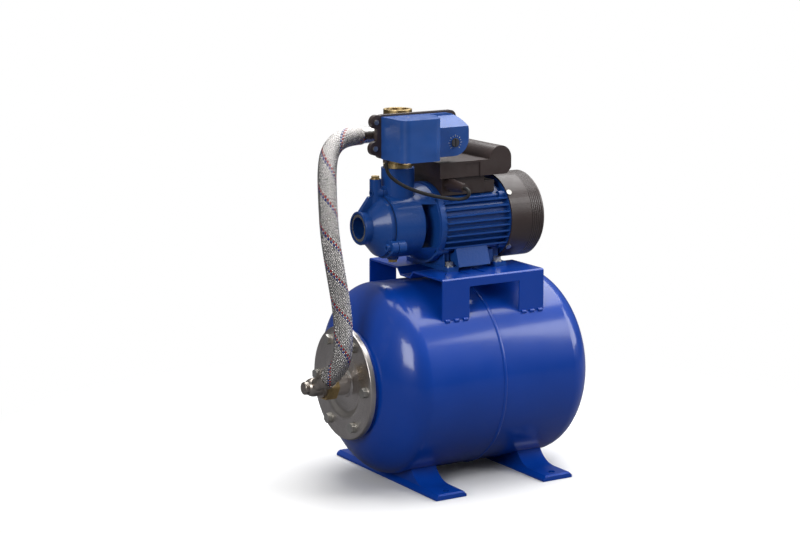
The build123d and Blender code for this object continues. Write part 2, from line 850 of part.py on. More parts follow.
def impeller_station():
    """X of the two ends of the impeller's hub."""
    x1 = casing_x1 - casing_back_wall - seal_seat_length - 3.0
    return x1 - impeller_width + 1, x1 + 2


def impeller_nut():
    """Nut that holds the impeller on the shaft."""
    x1 = impeller_station()[0]
    nut = hex_x(impeller_nut_flats, x1 - impeller_nut_height, x1, 0, shaft_z)
    return nut - rod_x(shaft_radius - 1, x1 - 20, x1 + 1, 0, shaft_z)


def seal_seat():
    """Fixed ring of the shaft seal."""
    x0 = casing_x1 - casing_back_wall - 1
    return tube_x(seal_seat_radius, shaft_body_radius + 0.6, x0, x0 + seal_seat_length - 0.1, 0, shaft_z)


def seal_head():
    """Turning ring of the shaft seal, clamped between impeller and seat."""
    x0 = impeller_station()[1]
    x1 = casing_x1 - casing_back_wall - 1 - 0.1
    return tube_x(seal_head_radius, shaft_radius, x0, x1, 0, shaft_z)


# ---------------------------------------------------------------- bracket
def motor_bracket():
    """Lantern between casing and motor: side windows, rear flange and the front bearing seat."""
    x0 = casing_x1
    x1 = bracket_x1
    flange_x0 = x1 - bracket_flange
    wall = bracket_wall
    outer = [(x0, 0), (x0, casing_radius), (x0 + 6, casing_radius), (flange_x0, bracket_flange_radius - 3)]
    outer += [(flange_x0, bracket_flange_radius), (x1, bracket_flange_radius), (x1, 0)]
    bracket = turned_x(outer, 0, shaft_z)
    hollow = [(x0 + 6, 0), (x0 + 6, casing_radius - wall), (flange_x0, bracket_flange_radius - 3 - wall)]
    hollow += [(flange_x0, 0)]
    bracket -= turned_x(hollow, 0, shaft_z)
    bracket -= block(
        x0 + 6 + bracket_window_margin,
        flange_x0 - bracket_window_margin,
        -80,
        80,
        shaft_z - bracket_window_low,
        shaft_z + bracket_window_high,
    )
    for y, z in tie_places():
        bracket += rod_x(tie_lug + 1, flange_x0, x1, y, z)
    bracket += rod_x(bearing_outer + bearing_boss_wall, flange_x0 - bearing_boss_wall, flange_x0, 0, shaft_z)
    bracket -= rod_z(port_boss_radius + 0.2, shaft_z + boss_root - 0.2, outlet_z + 1, pump_x, 0)
    bracket -= rod_x(shaft_body_radius + 0.8, x0 - 1, x1 + 1, 0, shaft_z)
    bracket -= rod_x(bearing_outer, x1 - bearing_width, x1 + 1, 0, shaft_z)
    for y, z in tie_places():
        bracket -= rod_x(tie_radius + 0.1, flange_x0 - 1, x1 + 1, y, z)
    return bracket


def shaft_slinger():
    """Rubber disc that throws water off the shaft inside the lantern."""
    x = casing_x1 + 14
    return tube_x(slinger_radius, shaft_body_radius, x, x + slinger_sheet, 0, shaft_z)


def race_radii():
    """Radii of the ball track: inner race outside, outer race inside, ball and pitch circle."""
    inner_out = bearing_bore + race_wall
    outer_in = bearing_outer - race_wall
    ball = (outer_in - inner_out) / 2 - ball_clearance
    return inner_out, outer_in, ball, (inner_out + outer_in) / 2


def bearing_outer_races():
    """Outer rings of both bearings."""
    outer_in = race_radii()[1]
    return [
        tube_x(bearing_outer - 0.02, outer_in, x - bearing_width / 2, x + bearing_width / 2, 0, shaft_z)
        for x in (front_bearing_x, rear_bearing_x)
    ]


def bearing_inner_races():
    """Inner rings of both bearings, on the shaft."""
    inner_out = race_radii()[0]
    return [
        tube_x(inner_out, bearing_bore, x - bearing_width / 2, x + bearing_width / 2, 0, shaft_z)
        for x in (front_bearing_x, rear_bearing_x)
    ]


def bearing_balls():
    """Balls of both bearings, each set held by a thin cage ring."""
    inner_out, outer_in, ball, pitch = race_radii()
    sets = []
    for x in (front_bearing_x, rear_bearing_x):
        cage = tube_x(pitch + 0.8, pitch - 0.8, x - 1.2, x + 1.2, 0, shaft_z)
        for i in range(ball_count):
            y, z = around_shaft(360 / ball_count * i, pitch)
            cage += Pos(x, y, z) * Sphere(ball)
        sets.append(cage)
    return sets


def shaft():
    """Stepped shaft from the impeller nut to the cooling fan."""
    hub_x0, hub_x1 = impeller_station()
    front = front_bearing_x - bearing_width / 2
    rear = rear_bearing_x - bearing_width / 2
    fan_x1 = shield_x1 + 8 + fan_length - 4
    steps = [
        (hub_x0 - impeller_nut_height - 2, hub_x0, shaft_radius - 1),
        (hub_x0, casing_x1 - casing_back_wall, shaft_radius),
        (casing_x1 - casing_back_wall, front, shaft_body_radius),
        (front, front + bearing_width + 3, bearing_bore),
        (front + bearing_width + 3, rear, shaft_body_radius),
        (rear, fan_x1, bearing_bore),
    ]
    bar = rod_x(steps[0][2], steps[0][0], steps[0][1], 0, shaft_z)
    for x0, x1, radius in steps[1:]:
        bar += rod_x(radius, x0, x1, 0, shaft_z)
    return bar


# ---------------------------------------------------------------- motor
def stator_range():
    """X of the two ends of the stator core."""
    middle = (frame_x0 + frame_x1) / 2
    return middle - stator_length / 2, middle + stator_length / 2


def rotor_core():
    """Rotor stack on the shaft."""
    x0, x1 = stator_range()
    return tube_x(stator_bore_radius - air_gap, shaft_body_radius, x0 - 3, x1 + 3, 0, shaft_z)


def stator_core():
    """Stator stack with its winding slots."""
    x0, x1 = stator_range()
    core = tube_x(frame_radius - frame_wall, stator_bore_radius, x0, x1, 0, shaft_z)
    for i in range(slot_count):
        y, z = around_shaft(360 / slot_count * i, stator_bore_radius + 8)
        core -= rod_x(2.4, x0 - 1, x1 + 1, y, z)
    return core


def stator_windings():
    """End turns on both faces of the stator."""
    x0, x1 = stator_range()
    outer = stator_bore_radius + 14
    inner = stator_bore_radius + 2
    front = tube_x(outer, inner, x0 - winding_overhang, x0, 0, shaft_z)
    rear = tube_x(outer, inner, x1, x1 + winding_overhang, 0, shaft_z)
    front = fillet(front.faces().sort_by(Axis.X)[0].edges(), 4)
    rear = fillet(rear.faces().sort_by(Axis.X)[-1].edges(), 4)
    return [front, rear]


def motor_frame():
    """Finned motor housing with lugs for the long screws."""
    core = rod_x(frame_radius, frame_x0, frame_x1, 0, shaft_z)
    for i in range(fins_per_side):
        offset = (i - (fins_per_side - 1) / 2) * fin_pitch
        reach = sqrt(fin_tip_radius**2 - offset**2)
        z = shaft_z + offset
        core += block(frame_x0, frame_x1, -reach, reach, z - fin_sheet / 2, z + fin_sheet / 2)
    for y, z in tie_places():
        for x in (frame_x0, frame_x1 - tie_lug_length):
            core += rod_x(tie_lug, x, x + tie_lug_length, y, z)
    core -= rod_x(frame_radius - frame_wall, frame_x0 - 1, frame_x1 + 1, 0, shaft_z)
    for y, z in tie_places():
        core -= rod_x(tie_radius + 0.1, frame_x0 - 1, frame_x1 + 1, y, z)
    return core


def rear_end_shield():
    """Rear cover of the motor with the rear bearing seat."""
    seat_x0 = rear_bearing_x - bearing_width / 2
    edge = fan_cover_radius - fan_cover_wall - shield_clearance
    shield = rod_x(edge, frame_x1, shield_x1, 0, shaft_z)
    shield += rod_x(bearing_outer + bearing_boss_wall, seat_x0 - 3, frame_x1, 0, shaft_z)
    shield -= rod_x(bearing_outer, seat_x0, shield_x1 + 1, 0, shaft_z)
    shield -= rod_x(shaft_body_radius + 2, seat_x0 - 5, shield_x1, 0, shaft_z)
    for y, z in tie_places():
        shield -= rod_x(tie_radius + 0.1, frame_x1 - 1, shield_x1 + 1, y, z)
    for angle in cover_screw_angles:
        shield -= screw_hole(angle, fan_cover_radius - fan_cover_wall - cover_screw_depth, cover_screw_radius)
    return shield


def screw_hole(angle, inner, radius):
    """Radial hole for a fan cover screw."""
    x = frame_x1 + shield_thickness / 2
    hole = Cylinder(radius, fan_cover_radius + 4 - inner, align=LOW)
    return Pos(x, 0, shaft_z) * Rot(90 - angle, 0, 0) * Pos(0, 0, inner) * hole


def cooling_fan():
    """Plastic fan: hub, disc and straight radial blades."""
    x0 = shield_x1 + 8
    wheel = rod_x(fan_hub_radius, x0, x0 + fan_length, 0, shaft_z)
    wheel += rod_x(fan_radius * 0.7, x0, x0 + fan_disc, 0, shaft_z)
    for i in range(fan_blades):
        blade = block(x0, x0 + fan_length, -1, 1, fan_hub_radius - 3, fan_radius)
        wheel += Pos(0, 0, shaft_z) * Rot(360 / fan_blades * i, 0, 0) * blade
    return wheel - rod_x(bearing_bore, x0 - 1, x0 + fan_length - 4, 0, shaft_z)


def fan_cover():
    """Plastic hood over the fan, with an air grille in its end and a stepped rim."""
    x0 = frame_x1 + 1
    skirt_x1 = fan_cover_x1
    x1 = fan_rim_x1
    small = fan_cover_radius - fan_rim_step
    t = fan_cover_wall
    points = [(x0, fan_cover_radius - t), (x0, fan_cover_radius), (skirt_x1, fan_cover_radius)]
    points += [(skirt_x1 + 1, small), (x1 - 2, small), (x1, small - 3), (x1, 0)]
    points += [(x1 - t, 0), (x1 - t, small - t - 2), (skirt_x1, small - t - 1)]
    points += [(skirt_x1 - t, fan_cover_radius - t)]
    hood = turned_x(points, 0, shaft_z)
    for i in range(grille_slot_count):
        slot = block(x1 - 12, x1 + 1, -1.6, 1.6, grille_inner, grille_outer)
        hood -= Pos(0, 0, shaft_z) * Rot(360 / grille_slot_count * i, 0, 0) * slot
    for angle in cover_screw_angles:
        hood -= screw_hole(angle, fan_cover_radius - t - 3, cover_screw_radius + 0.2)
    return hood


def fan_cover_screws():
    """Screws that hold the fan cover to the rear shield."""
    x = frame_x1 + shield_thickness / 2
    screws = []
    for angle in cover_screw_angles:
        head = Pos(0, 0, fan_cover_radius) * Cylinder(cover_screw_head, 1.8, align=LOW)
        inner = fan_cover_radius - fan_cover_wall - cover_screw_depth
        shank = Pos(0, 0, inner) * Cylinder(
            cover_screw_radius - 0.05, fan_cover_radius - inner, align=LOW
        )
        screws.append(Pos(x, 0, shaft_z) * Rot(90 - angle, 0, 0) * (head + shank))
    return screws


def tie_bolts():
    """Four long screws that clamp shield, frame and bracket together."""
    x0 = bracket_x1 - bracket_flange
    x1 = shield_x1 + tie_head
    bolts = []
    for y, z in tie_places():
        bolt = rod_x(tie_radius, x0 + 1, x1, y, z)
        bolt += rod_x(tie_head_radius, shield_x1, x1, y, z)
        bolts.append(bolt)
    return bolts


# ---------------------------------------------------------------- motor foot
def motor_foot():
    """Cast foot: two cross bars, a saddle under the frame and a leaning name plate each side."""
    base = platform_top
    half = saddle_length / 2
    saddle = block(
        motor_foot_x - half, motor_foot_x + half, -saddle_half_width, saddle_half_width, base, shaft_z - 25
    )
    hollow = saddle_half_width - 6
    saddle -= block(motor_foot_x - half + 8, motor_foot_x + half - 8, -hollow, hollow, base - 1, shaft_z)
    foot = saddle
    reach = foot_bolt_y / 2 + foot_pad_reach
    for side in (-1, 1):
        x = motor_foot_x + side * foot_bolt_x / 2
        foot += block(x - foot_pad_width / 2, x + foot_pad_width / 2, -reach, reach, base, base + foot_pad)
    for side in (-1, 1):
        for dx in gusset_places:
            foot += gusset(motor_foot_x + dx, side)
        foot += name_plate(side)
    foot -= rod_x(frame_radius, frame_x0 - 30, frame_x1 + 30, 0, shaft_z)
    foot -= fin_space()
    for x, y in foot_bolt_places():
        foot -= rod_z(foot_bolt_radius + 0.3, base - 1, base + foot_pad + 1, x, y)
        foot -= rod_z(washer_radius + 0.3, base + foot_pad, base + 60, x, y)
    return foot


def gusset(x, side):
    """Upright web that carries one end of the saddle's side."""
    inner = saddle_half_width - 2
    low = platform_top + foot_pad - 0.5
    points = [(side * inner, low), (side * (inner + 12), low)]
    points += [(side * (inner + 8), shaft_z - 34), (side * inner, shaft_z - 34)]
    return slab_x(points, x, x + gusset_thickness)


def name_plate(side):
    """Leaning bare plate on the side of the foot."""
    top_z = platform_top + name_plate_top
    low_z = platform_top + foot_pad
    y_top = saddle_half_width + 15
    y_low = y_top + name_plate_lean
    t = name_plate_sheet
    points = [(side * y_low, low_z), (side * (y_low - t - 1), low_z)]
    points += [(side * (saddle_half_width - 1), low_z + 8), (side * (saddle_half_width - 1), top_z - 12)]
    points += [(side * (y_top - t), top_z - 3), (side * y_top, top_z - 1)]
    x0 = motor_foot_x - name_plate_start
    return slab_x(points, x0, x0 + name_plate_length)


def fin_space():
    """Room for the lowest fins and lugs of the motor frame."""
    lowest = (fins_per_side - 1) / 2 * fin_pitch
    reach = fin_tip_radius + 1
    z0 = shaft_z - lowest - fin_sheet / 2 - 0.3
    space = block(frame_x0 - 1, frame_x1 + 1, -reach, reach, z0, shaft_z)
    for y, z in tie_places():
        space += rod_x(tie_lug + 0.5, bracket_x1 - bracket_flange - 1, frame_x1 + 12, y, z)
    return space


def foot_bolts():
    """Screws, washers and nuts that hold the motor foot to the platform."""
    base = platform_top
    top = base + foot_pad
    pieces = []
    for x, y in foot_bolt_places():
        washer = rod_z(washer_radius, top, top + washer_thickness, x, y)
        head = hex_z(
            foot_bolt_flats, top + washer_thickness, top + washer_thickness + foot_bolt_head, x, y
        )
        shank = rod_z(foot_bolt_radius - 0.05, base - 14, top + washer_thickness, x, y)
        nut = hex_z(foot_bolt_flats, base - platform_sheet - 5, base - platform_sheet, x, y)
        pieces.append(washer + head + shank + nut)
    return pieces


# ---------------------------------------------------------------- terminal box
def terminal_box_base():
    """Hollow pedestal on the motor frame."""
    y = pedestal_half_width
    z0 = shaft_z + sqrt(frame_radius**2 - y**2)
    z1 = pedestal_z1
    w = pedestal_wall
    step_x1 = pedestal_x1 + pedestal_step_length
    body = block(pedestal_x0, pedestal_x1, -y, y, z0, z1)
    body += block(pedestal_x1 - 1, step_x1, -y + 2, y - 2, z0, z1 - pedestal_step_drop)
    body -= block(pedestal_x0 + w, pedestal_x1 - w, -y + w, y - w, z0 - 1, z1 + 1)
    body -= block(pedestal_x1 + w, step_x1 - w, -y + w + 2, y - w - 2, z0 - 1, z1 - pedestal_step_drop - w)
    body -= rod_x(frame_radius, pedestal_x0 - 1, step_x1 + 1, 0, shaft_z)
    for y, z in tie_places():
        body -= rod_x(tie_lug + lug_clearance, frame_x0, frame_x1, y, z)
    for x, y0, y1, radius in gland_holes():
        body -= rod_y(radius, y0, y1, x, shaft_z + motor_gland_z)
    return body


def gland_holes():
    """(x, y0, y1, radius) of the gland holes: the switch lead in front, the mains lead behind."""
    y = pedestal_half_width
    near = (pump_x + motor_gland_x, -y - 1, -y + pedestal_wall + 1, motor_gland_tip)
    far = (pump_x + motor_gland_x, y - pedestal_wall - 1, y + 1, motor_gland_tip)
    return near, far


def box_profile(inset):
    """(x, z) outline of the terminal box cover, with the round bulge for the capacitor."""
    x0 = box_x0 + inset
    x1 = box_x1 - inset
    z0 = pedestal_z1 if inset == 0 else pedestal_z1 - 1
    z1 = box_z1 - inset
    radius = bulge_radius - inset
    centre_x = box_x1 - bulge_radius
    return Wire(
        [
            Line((x0, 0, z0), (x0, 0, z1)),
            Line((x0, 0, z1), (centre_x - radius, 0, z1)),
            ThreePointArc(
                (centre_x - radius, 0, z1), (centre_x, 0, z1 + radius), (centre_x + radius, 0, z1)
            ),
            Line((x1, 0, z1), (x1, 0, pedestal_z1 + 8)),
            Line((x1, 0, pedestal_z1 + 8), (x1 - 7, 0, z0)),
            Line((x1 - 7, 0, z0), (x0, 0, z0)),
        ]
    )


def terminal_box_cover():
    """Plastic cover of the terminal box."""
    y = box_half_width
    outer = Pos(0, -y, 0) * extrude(make_face(box_profile(0)), 2 * y, dir=(0, 1, 0))
    inner_y = y - box_wall
    inner = Pos(0, -inner_y, 0) * extrude(make_face(box_profile(box_wall)), 2 * inner_y, dir=(0, 1, 0))
    floor_z1 = pedestal_z1 + box_wall
    tray = block(box_x0 + 1, box_x1 - 8, -y + 1, y - 1, pedestal_z1, floor_z1)
    hole_y = pedestal_half_width - pedestal_wall
    tray -= block(
        pedestal_x0 + pedestal_wall, pedestal_x1 - pedestal_wall, -hole_y, hole_y, pedestal_z1 - 1, floor_z1 + 1
    )
    x0 = box_x0 + box_recess_start
    cover = outer - inner + tray
    for side in (-1, 1):
        low, high = sorted((side * (y - box_recess_depth * 0.6), side * (y + 1)))
        cover -= block(x0, x0 + box_recess_length, low, high, pedestal_z1 - 1, box_z1 - 3)
    return cover


def run_capacitor():
    """Run capacitor lying in the bulge of the cover."""
    half = capacitor_length / 2
    low = pedestal_z1 + box_wall
    can = rod_y(capacitor_radius, -half, half, box_x1 - bulge_radius, low + capacitor_radius)
    return can


def terminal_block():
    """Terminal block on a bracket across the pedestal."""
    width, depth, height = terminal_block_size
    x = (pedestal_x0 + pedestal_x1) / 2 - 6
    z = pedestal_z1
    inner = pedestal_half_width - pedestal_wall
    body = block(x - width / 2, x + width / 2, -depth / 2, depth / 2, z - 2, z + height - 2)
    for i in range(5):
        hole_x = x + (i - 2) * width / 5.5
        body -= rod_z(2.2, z + height - 8, z + height, hole_x, 0)
    return body + block(x - 6, x + 6, -inner, inner, z - 4, z - 2)


def motor_glands():
    """Cable glands of the terminal box: switch lead in front, mains lead behind."""
    x = pump_x + motor_gland_x
    z = shaft_z + motor_gland_z
    near = gland(x, z, -1, motor_gland_reach)
    far = gland(x, z, 1, motor_gland_reach * 0.6)
    return [near, far]


def gland(x, z, side, reach):
    """One gland: threaded root, hexagon, tapered sleeve."""
    wall = pedestal_half_width
    length = reach
    nut = hexagon(2 * motor_gland_radius * 0.95, 7)
    sleeve = Pos(0, 0, 7) * Cone(motor_gland_radius, motor_gland_tip, length - 7, align=LOW)
    root = Pos(0, 0, -pedestal_wall) * Cylinder(motor_gland_tip - 0.05, pedestal_wall, align=LOW)
    bore = Pos(0, 0, -pedestal_wall - 1) * Cylinder(lead_diameter / 2 - 0.4, length + 20, align=LOW)
    piece = nut + sleeve + root
    if side > 0:
        piece -= bore
    return Pos(x, side * wall, z) * Rot(-90 * side, 0, 0) * piece


# ---------------------------------------------------------------- outlet fitting
def outlet_fitting():
    """Five-way brass fitting: pump below, outlet above, hose to -X, switch to -Y."""
    z0 = outlet_z
    body = rod_z(port_bore - fitting_thread_clearance, z0 - fitting_thread, z0, pump_x, 0)
    body += rod_z(fitting_collar_radius, z0, z0 + fitting_collar, pump_x, 0)
    body += rod_z(fitting_radius, z0, fitting_top_z, pump_x, 0)
    body += rod_z(fitting_top_radius, fitting_top_z - fitting_top_length, fitting_top_z, pump_x, 0)
    side_x = pump_x - side_port_reach
    body += rod_x(side_port_radius, side_x, pump_x, 0, port_z)
    body += rod_x(side_thread_radius, side_x - side_thread_length, side_x, 0, port_z)
    body += rod_y(switch_port_radius, base_y0, 0, pump_x, port_z)
    body += rod_y(switch_flange_radius, base_y0, base_y0 + switch_flange, pump_x, port_z)
    body -= rod_z(fitting_bore, z0 - fitting_thread - 1, fitting_top_z, pump_x, 0)
    body -= rod_z(port_bore, fitting_top_z - fitting_top_length, fitting_top_z + 1, pump_x, 0)
    body -= rod_x(side_bore, side_x - side_thread_length - 1, pump_x, 0, port_z)
    body -= rod_y(switch_bore, base_y0 - 1, 0, pump_x, port_z)
    body -= rod_y(14, base_y0 - 1, base_y0 + diaphragm_thickness, pump_x, port_z)
    return body


# ---------------------------------------------------------------- pressure switch
def switch_base():
    """Flat base of the switch, with two screw lobes at its hose end."""
    z = port_z
    plate = block(pump_x - base_left + 2, pump_x + base_right, base_y1, base_y0, z - base_low, z + base_high)
    plate = fillet(plate.edges().filter_by(Axis.Y), 9)
    for dx, dz in (upper_lobe, lower_lobe):
        plate += rod_y(lobe_radius, base_y1, base_y0, pump_x - dx, z + dz)
    plate -= rod_y(plunger_radius + 0.05, base_y1 - 1, base_y0 + 1, pump_x, z)
    shaft_hole = screw_shank_radius + 0.05
    plate -= rod_y(shaft_hole, base_y1 - 1, base_y1 + 6, pump_x + dial_x, z + dial_z)
    return plate


def cover_form(inset):
    """The closed shape of the switch cover, moved inwards by the inset."""
    x0 = pump_x - cover_left + inset
    x1 = pump_x + cover_right - inset
    back = base_y1
    front = -cover_front + inset
    dial = -dial_plane + inset
    s0 = pump_x + block_end - inset * 0.4
    s1 = pump_x + dial_start - inset * 0.4
    r = corner_round - inset
    plan = Wire(
        [
            Line((x0, back), (x0, front + r)),
            RadiusArc((x0, front + r), (x0 + r, front), -r),
            Line((x0 + r, front), (s0, front)),
            Spline((s0, front), (s1, dial), tangents=((1, 0), (1, 0))),
            Line((s1, dial), (x1, dial)),
            Line((x1, dial), (x1, back)),
            Line((x1, back), (x0, back)),
        ]
    )
    z0 = port_z - cover_low + inset
    z1 = port_z + cover_high - inset
    solid = Pos(0, 0, z0) * extrude(make_face(plan), z1 - z0)
    side = Pos((x0 + x1) / 2 - 5, (z0 + z1) / 2) * Rectangle(x1 - x0 + 10, z1 - z0)
    side = fillet(side.vertices().sort_by(Axis.X)[-2:], end_round - inset)
    solid &= Pos(0, -cover_front - 1, 0) * extrude(Plane.XZ * side, cover_front, dir=(0, 1, 0))
    wedge = [(dial - 1, port_z + chamfer_low - inset), (dial + chamfer_run, port_z + chamfer_top - inset)]
    wedge += [(dial + chamfer_run, port_z + 60), (dial - 1, port_z + 60)]
    return solid - slab_x(wedge, s1 - 6, x1 + 5)


def switch_cover():
    """Blue plastic cover of the switch: deep block at the hose end, shallow dial end."""
    cover = cover_form(0) - (cover_form(cover_wall) + back_opening())
    x = pump_x + dial_x
    z = port_z + dial_z
    cover -= rod_y(screw_head_radius + screw_clearance, -dial_plane - 1, -dial_plane + 5, x, z)
    cover -= rod_z(2.5, port_z - cover_low - 1, port_z - cover_low + 4, lead_points[0][0], lead_points[0][1])
    return cover


def back_opening():
    """Opening of the cover towards the base plate."""
    w = cover_wall
    inner = cover_form(w)
    slab = inner & block(-500, 500, base_y1 - w - 1, base_y1 - w, 0, 900)
    return slab + Pos(0, w, 0) * slab + Pos(0, w / 2, 0) * slab


def switch_screws():
    """Two screws in the lobes of the base."""
    screws = []
    for dx, dz in (upper_lobe, lower_lobe):
        x = pump_x - dx - 2
        z = port_z + dz
        head = rod_y(base_screw_head, base_y1 - 2, base_y1, x, z)
        head -= block(x - 3, x + 3, base_y1 - 3, base_y1 - 1.2, z - 0.5, z + 0.5)
        screws.append(head)
    return screws


def setpoint_screw():
    """Slotted adjusting screw in the dial."""
    x = pump_x + dial_x
    z = port_z + dial_z
    head_y0 = -dial_plane - screw_head_reach
    head = rod_y(screw_head_radius, head_y0, head_y0 + screw_head_thickness, x, z)
    head -= block(
        x - screw_slot_width / 2,
        x + screw_slot_width / 2,
        head_y0 - 1,
        head_y0 + screw_slot_depth,
        z - screw_head_radius + 1,
        z + screw_head_radius - 1,
    )
    return head + rod_y(screw_shank_radius, head_y0 + screw_head_thickness, base_y1 + 5, x, z)


def switch_diaphragm():
    """Rubber diaphragm between fitting and switch."""
    return rod_y(13.9, base_y0 + 0.02, base_y0 + diaphragm_thickness - 0.02, pump_x, port_z)


def switch_plunger():
    """Plunger that the diaphragm pushes to work the contacts."""
    return rod_y(plunger_radius, base_y0 - plunger_length, base_y0 - 0.3, pump_x, port_z)


def switch_contacts():
    """Contact block on the base, beside the plunger."""
    width, depth, height = micro_switch_size
    x = pump_x + 8
    middle = port_z + 1
    return block(x, x + width, base_y1 - depth, base_y1, middle - height / 2, middle + height / 2)


def switch_gland():
    """Short sleeve where the lead leaves the underside of the switch."""
    x, y, z = lead_points[0]
    top = port_z - cover_low
    sleeve = rod_z(lead_gland_radius, z, top, x, y) + rod_z(2.45, z, top + cover_wall + 1, x, y)
    return sleeve


# ---------------------------------------------------------------- hose line
def hex_bored(flats, bore, x0, x1, z, turn=0.0):
    """Hexagon nut along X with a bore."""
    return hex_x(flats, x0, x1, 0, z, turn) - rod_x(bore, x0 - 1, x1 + 1, 0, z)


def upper_hose_nut():
    """Nut of the hose on the side port of the fitting."""
    x1 = pump_x - side_port_reach - 0.5
    return hex_bored(upper_nut_flats, side_thread_radius + 0.05, x1 - upper_nut_length, x1, port_z)


def upper_ferrule():
    """Steel ferrule on the upper hose end, held in the nut."""
    x0 = hose_points[0][0]
    nut_x0 = pump_x - side_port_reach - 0.5 - upper_nut_length
    thread_x0 = pump_x - side_port_reach - side_thread_length
    body = rod_x(upper_ferrule_radius, x0, nut_x0 - 0.05, 0, port_z)
    body += rod_x(upper_ferrule_ring, x0, x0 + upper_ferrule_ring_length, 0, port_z)
    body += rod_x(side_thread_radius - 0.4, nut_x0 - 0.05, thread_x0 - 0.1, 0, port_z)
    return body - rod_x(ferrule_bore, x0 - 1, thread_x0 + 1, 0, port_z)


def elbow_union_nut():
    """Brass union nut between the flange neck and the elbow."""
    x1 = plate_x - neck_show
    x0 = x1 - union_nut_length
    nut = hex_bored(union_nut_flats, neck_radius + 0.05, x0, x1, tank_axis_z, 30.0)
    limit = rod_x(union_nut_flats * 0.555, x0, x1, 0, tank_axis_z)
    return nut & limit


def elbow_station():
    """X of the elbow's nut end, of its outer end and of its centre."""
    x1 = plate_x - neck_show - union_nut_length
    return x1, x1 - elbow_collar_length - elbow_length, x1 - elbow_centre_inset


def hose_elbow():
    """Cast elbow: spigot in the nut, round body with its stub, and the cup that takes the hose."""
    x1, x0, centre_x = elbow_station()
    length = hypot(*elbow_leg)
    body = rod_x(elbow_radius, centre_x, x1, 0, tank_axis_z)
    body += rod_x(elbow_collar_radius, x1 - elbow_collar_length, x1, 0, tank_axis_z)
    body += Pos(centre_x, 0, tank_axis_z) * Sphere(elbow_radius)
    stub = rod_x(stub_radius, x0 - stub_length, centre_x, 0, tank_axis_z)
    body += fillet(stub.faces().sort_by(Axis.X)[0].edges(), 2.5)
    leg = Plane(origin=(centre_x, 0, tank_axis_z), z_dir=elbow_leg)
    cone_length = cup_start - leg_neck_length
    body += leg * Cylinder(leg_radius, leg_neck_length, align=LOW)
    body += leg * Pos(0, 0, leg_neck_length) * Cone(leg_radius, cup_radius, cone_length, align=LOW)
    body += leg * Pos(0, 0, cup_start) * Cylinder(cup_radius, length - cup_start + cup_lip, align=LOW)
    body -= rod_x(union_nut_flats * 0.555 + 0.3, x1, x1 + union_nut_length, 0, tank_axis_z)
    body += rod_x(neck_bore, x1, x1 + 2.5, 0, tank_axis_z)
    seat_radius = hose_diameter / 2 + cup_clearance
    body -= leg * Pos(0, 0, length) * Cylinder(seat_radius, cup_lip + 5, align=LOW)
    body -= rod_x(elbow_bore, centre_x, x1 + 30, 0, tank_axis_z)
    return body - leg * Cylinder(elbow_bore, length + 1, align=LOW)


def corner_radii(points):
    """Radius of the arc at each inner corner of a cord's route."""
    radii = []
    for before, corner, after in zip(points, points[1:], points[2:]):
        back = Vector(*corner) - Vector(*before)
        ahead = Vector(*after) - Vector(*corner)
        turn = radians(back.get_angle(ahead))
        radii.append(0.45 * min(back.length, ahead.length) / tan(turn / 2))
    return radii


def cord(points, diameter, name):
    """Round cord along straight runs joined by tangent arcs."""
    radii = corner_radii(points)
    path = FilletPolyline(*points, radius=radii)
    start = Plane(origin=path @ 0, z_dir=path % 0)
    solid = sweep(start * Circle(diameter / 2), path=path)
    volume = solid.volume
    expected = pi * diameter**2 / 4 * path.length
    print(name, "radii", [round(r, 1) for r in radii], "length", round(path.length, 1))
    print(name, "volume", round(volume), "section x length", round(expected))
    return solid


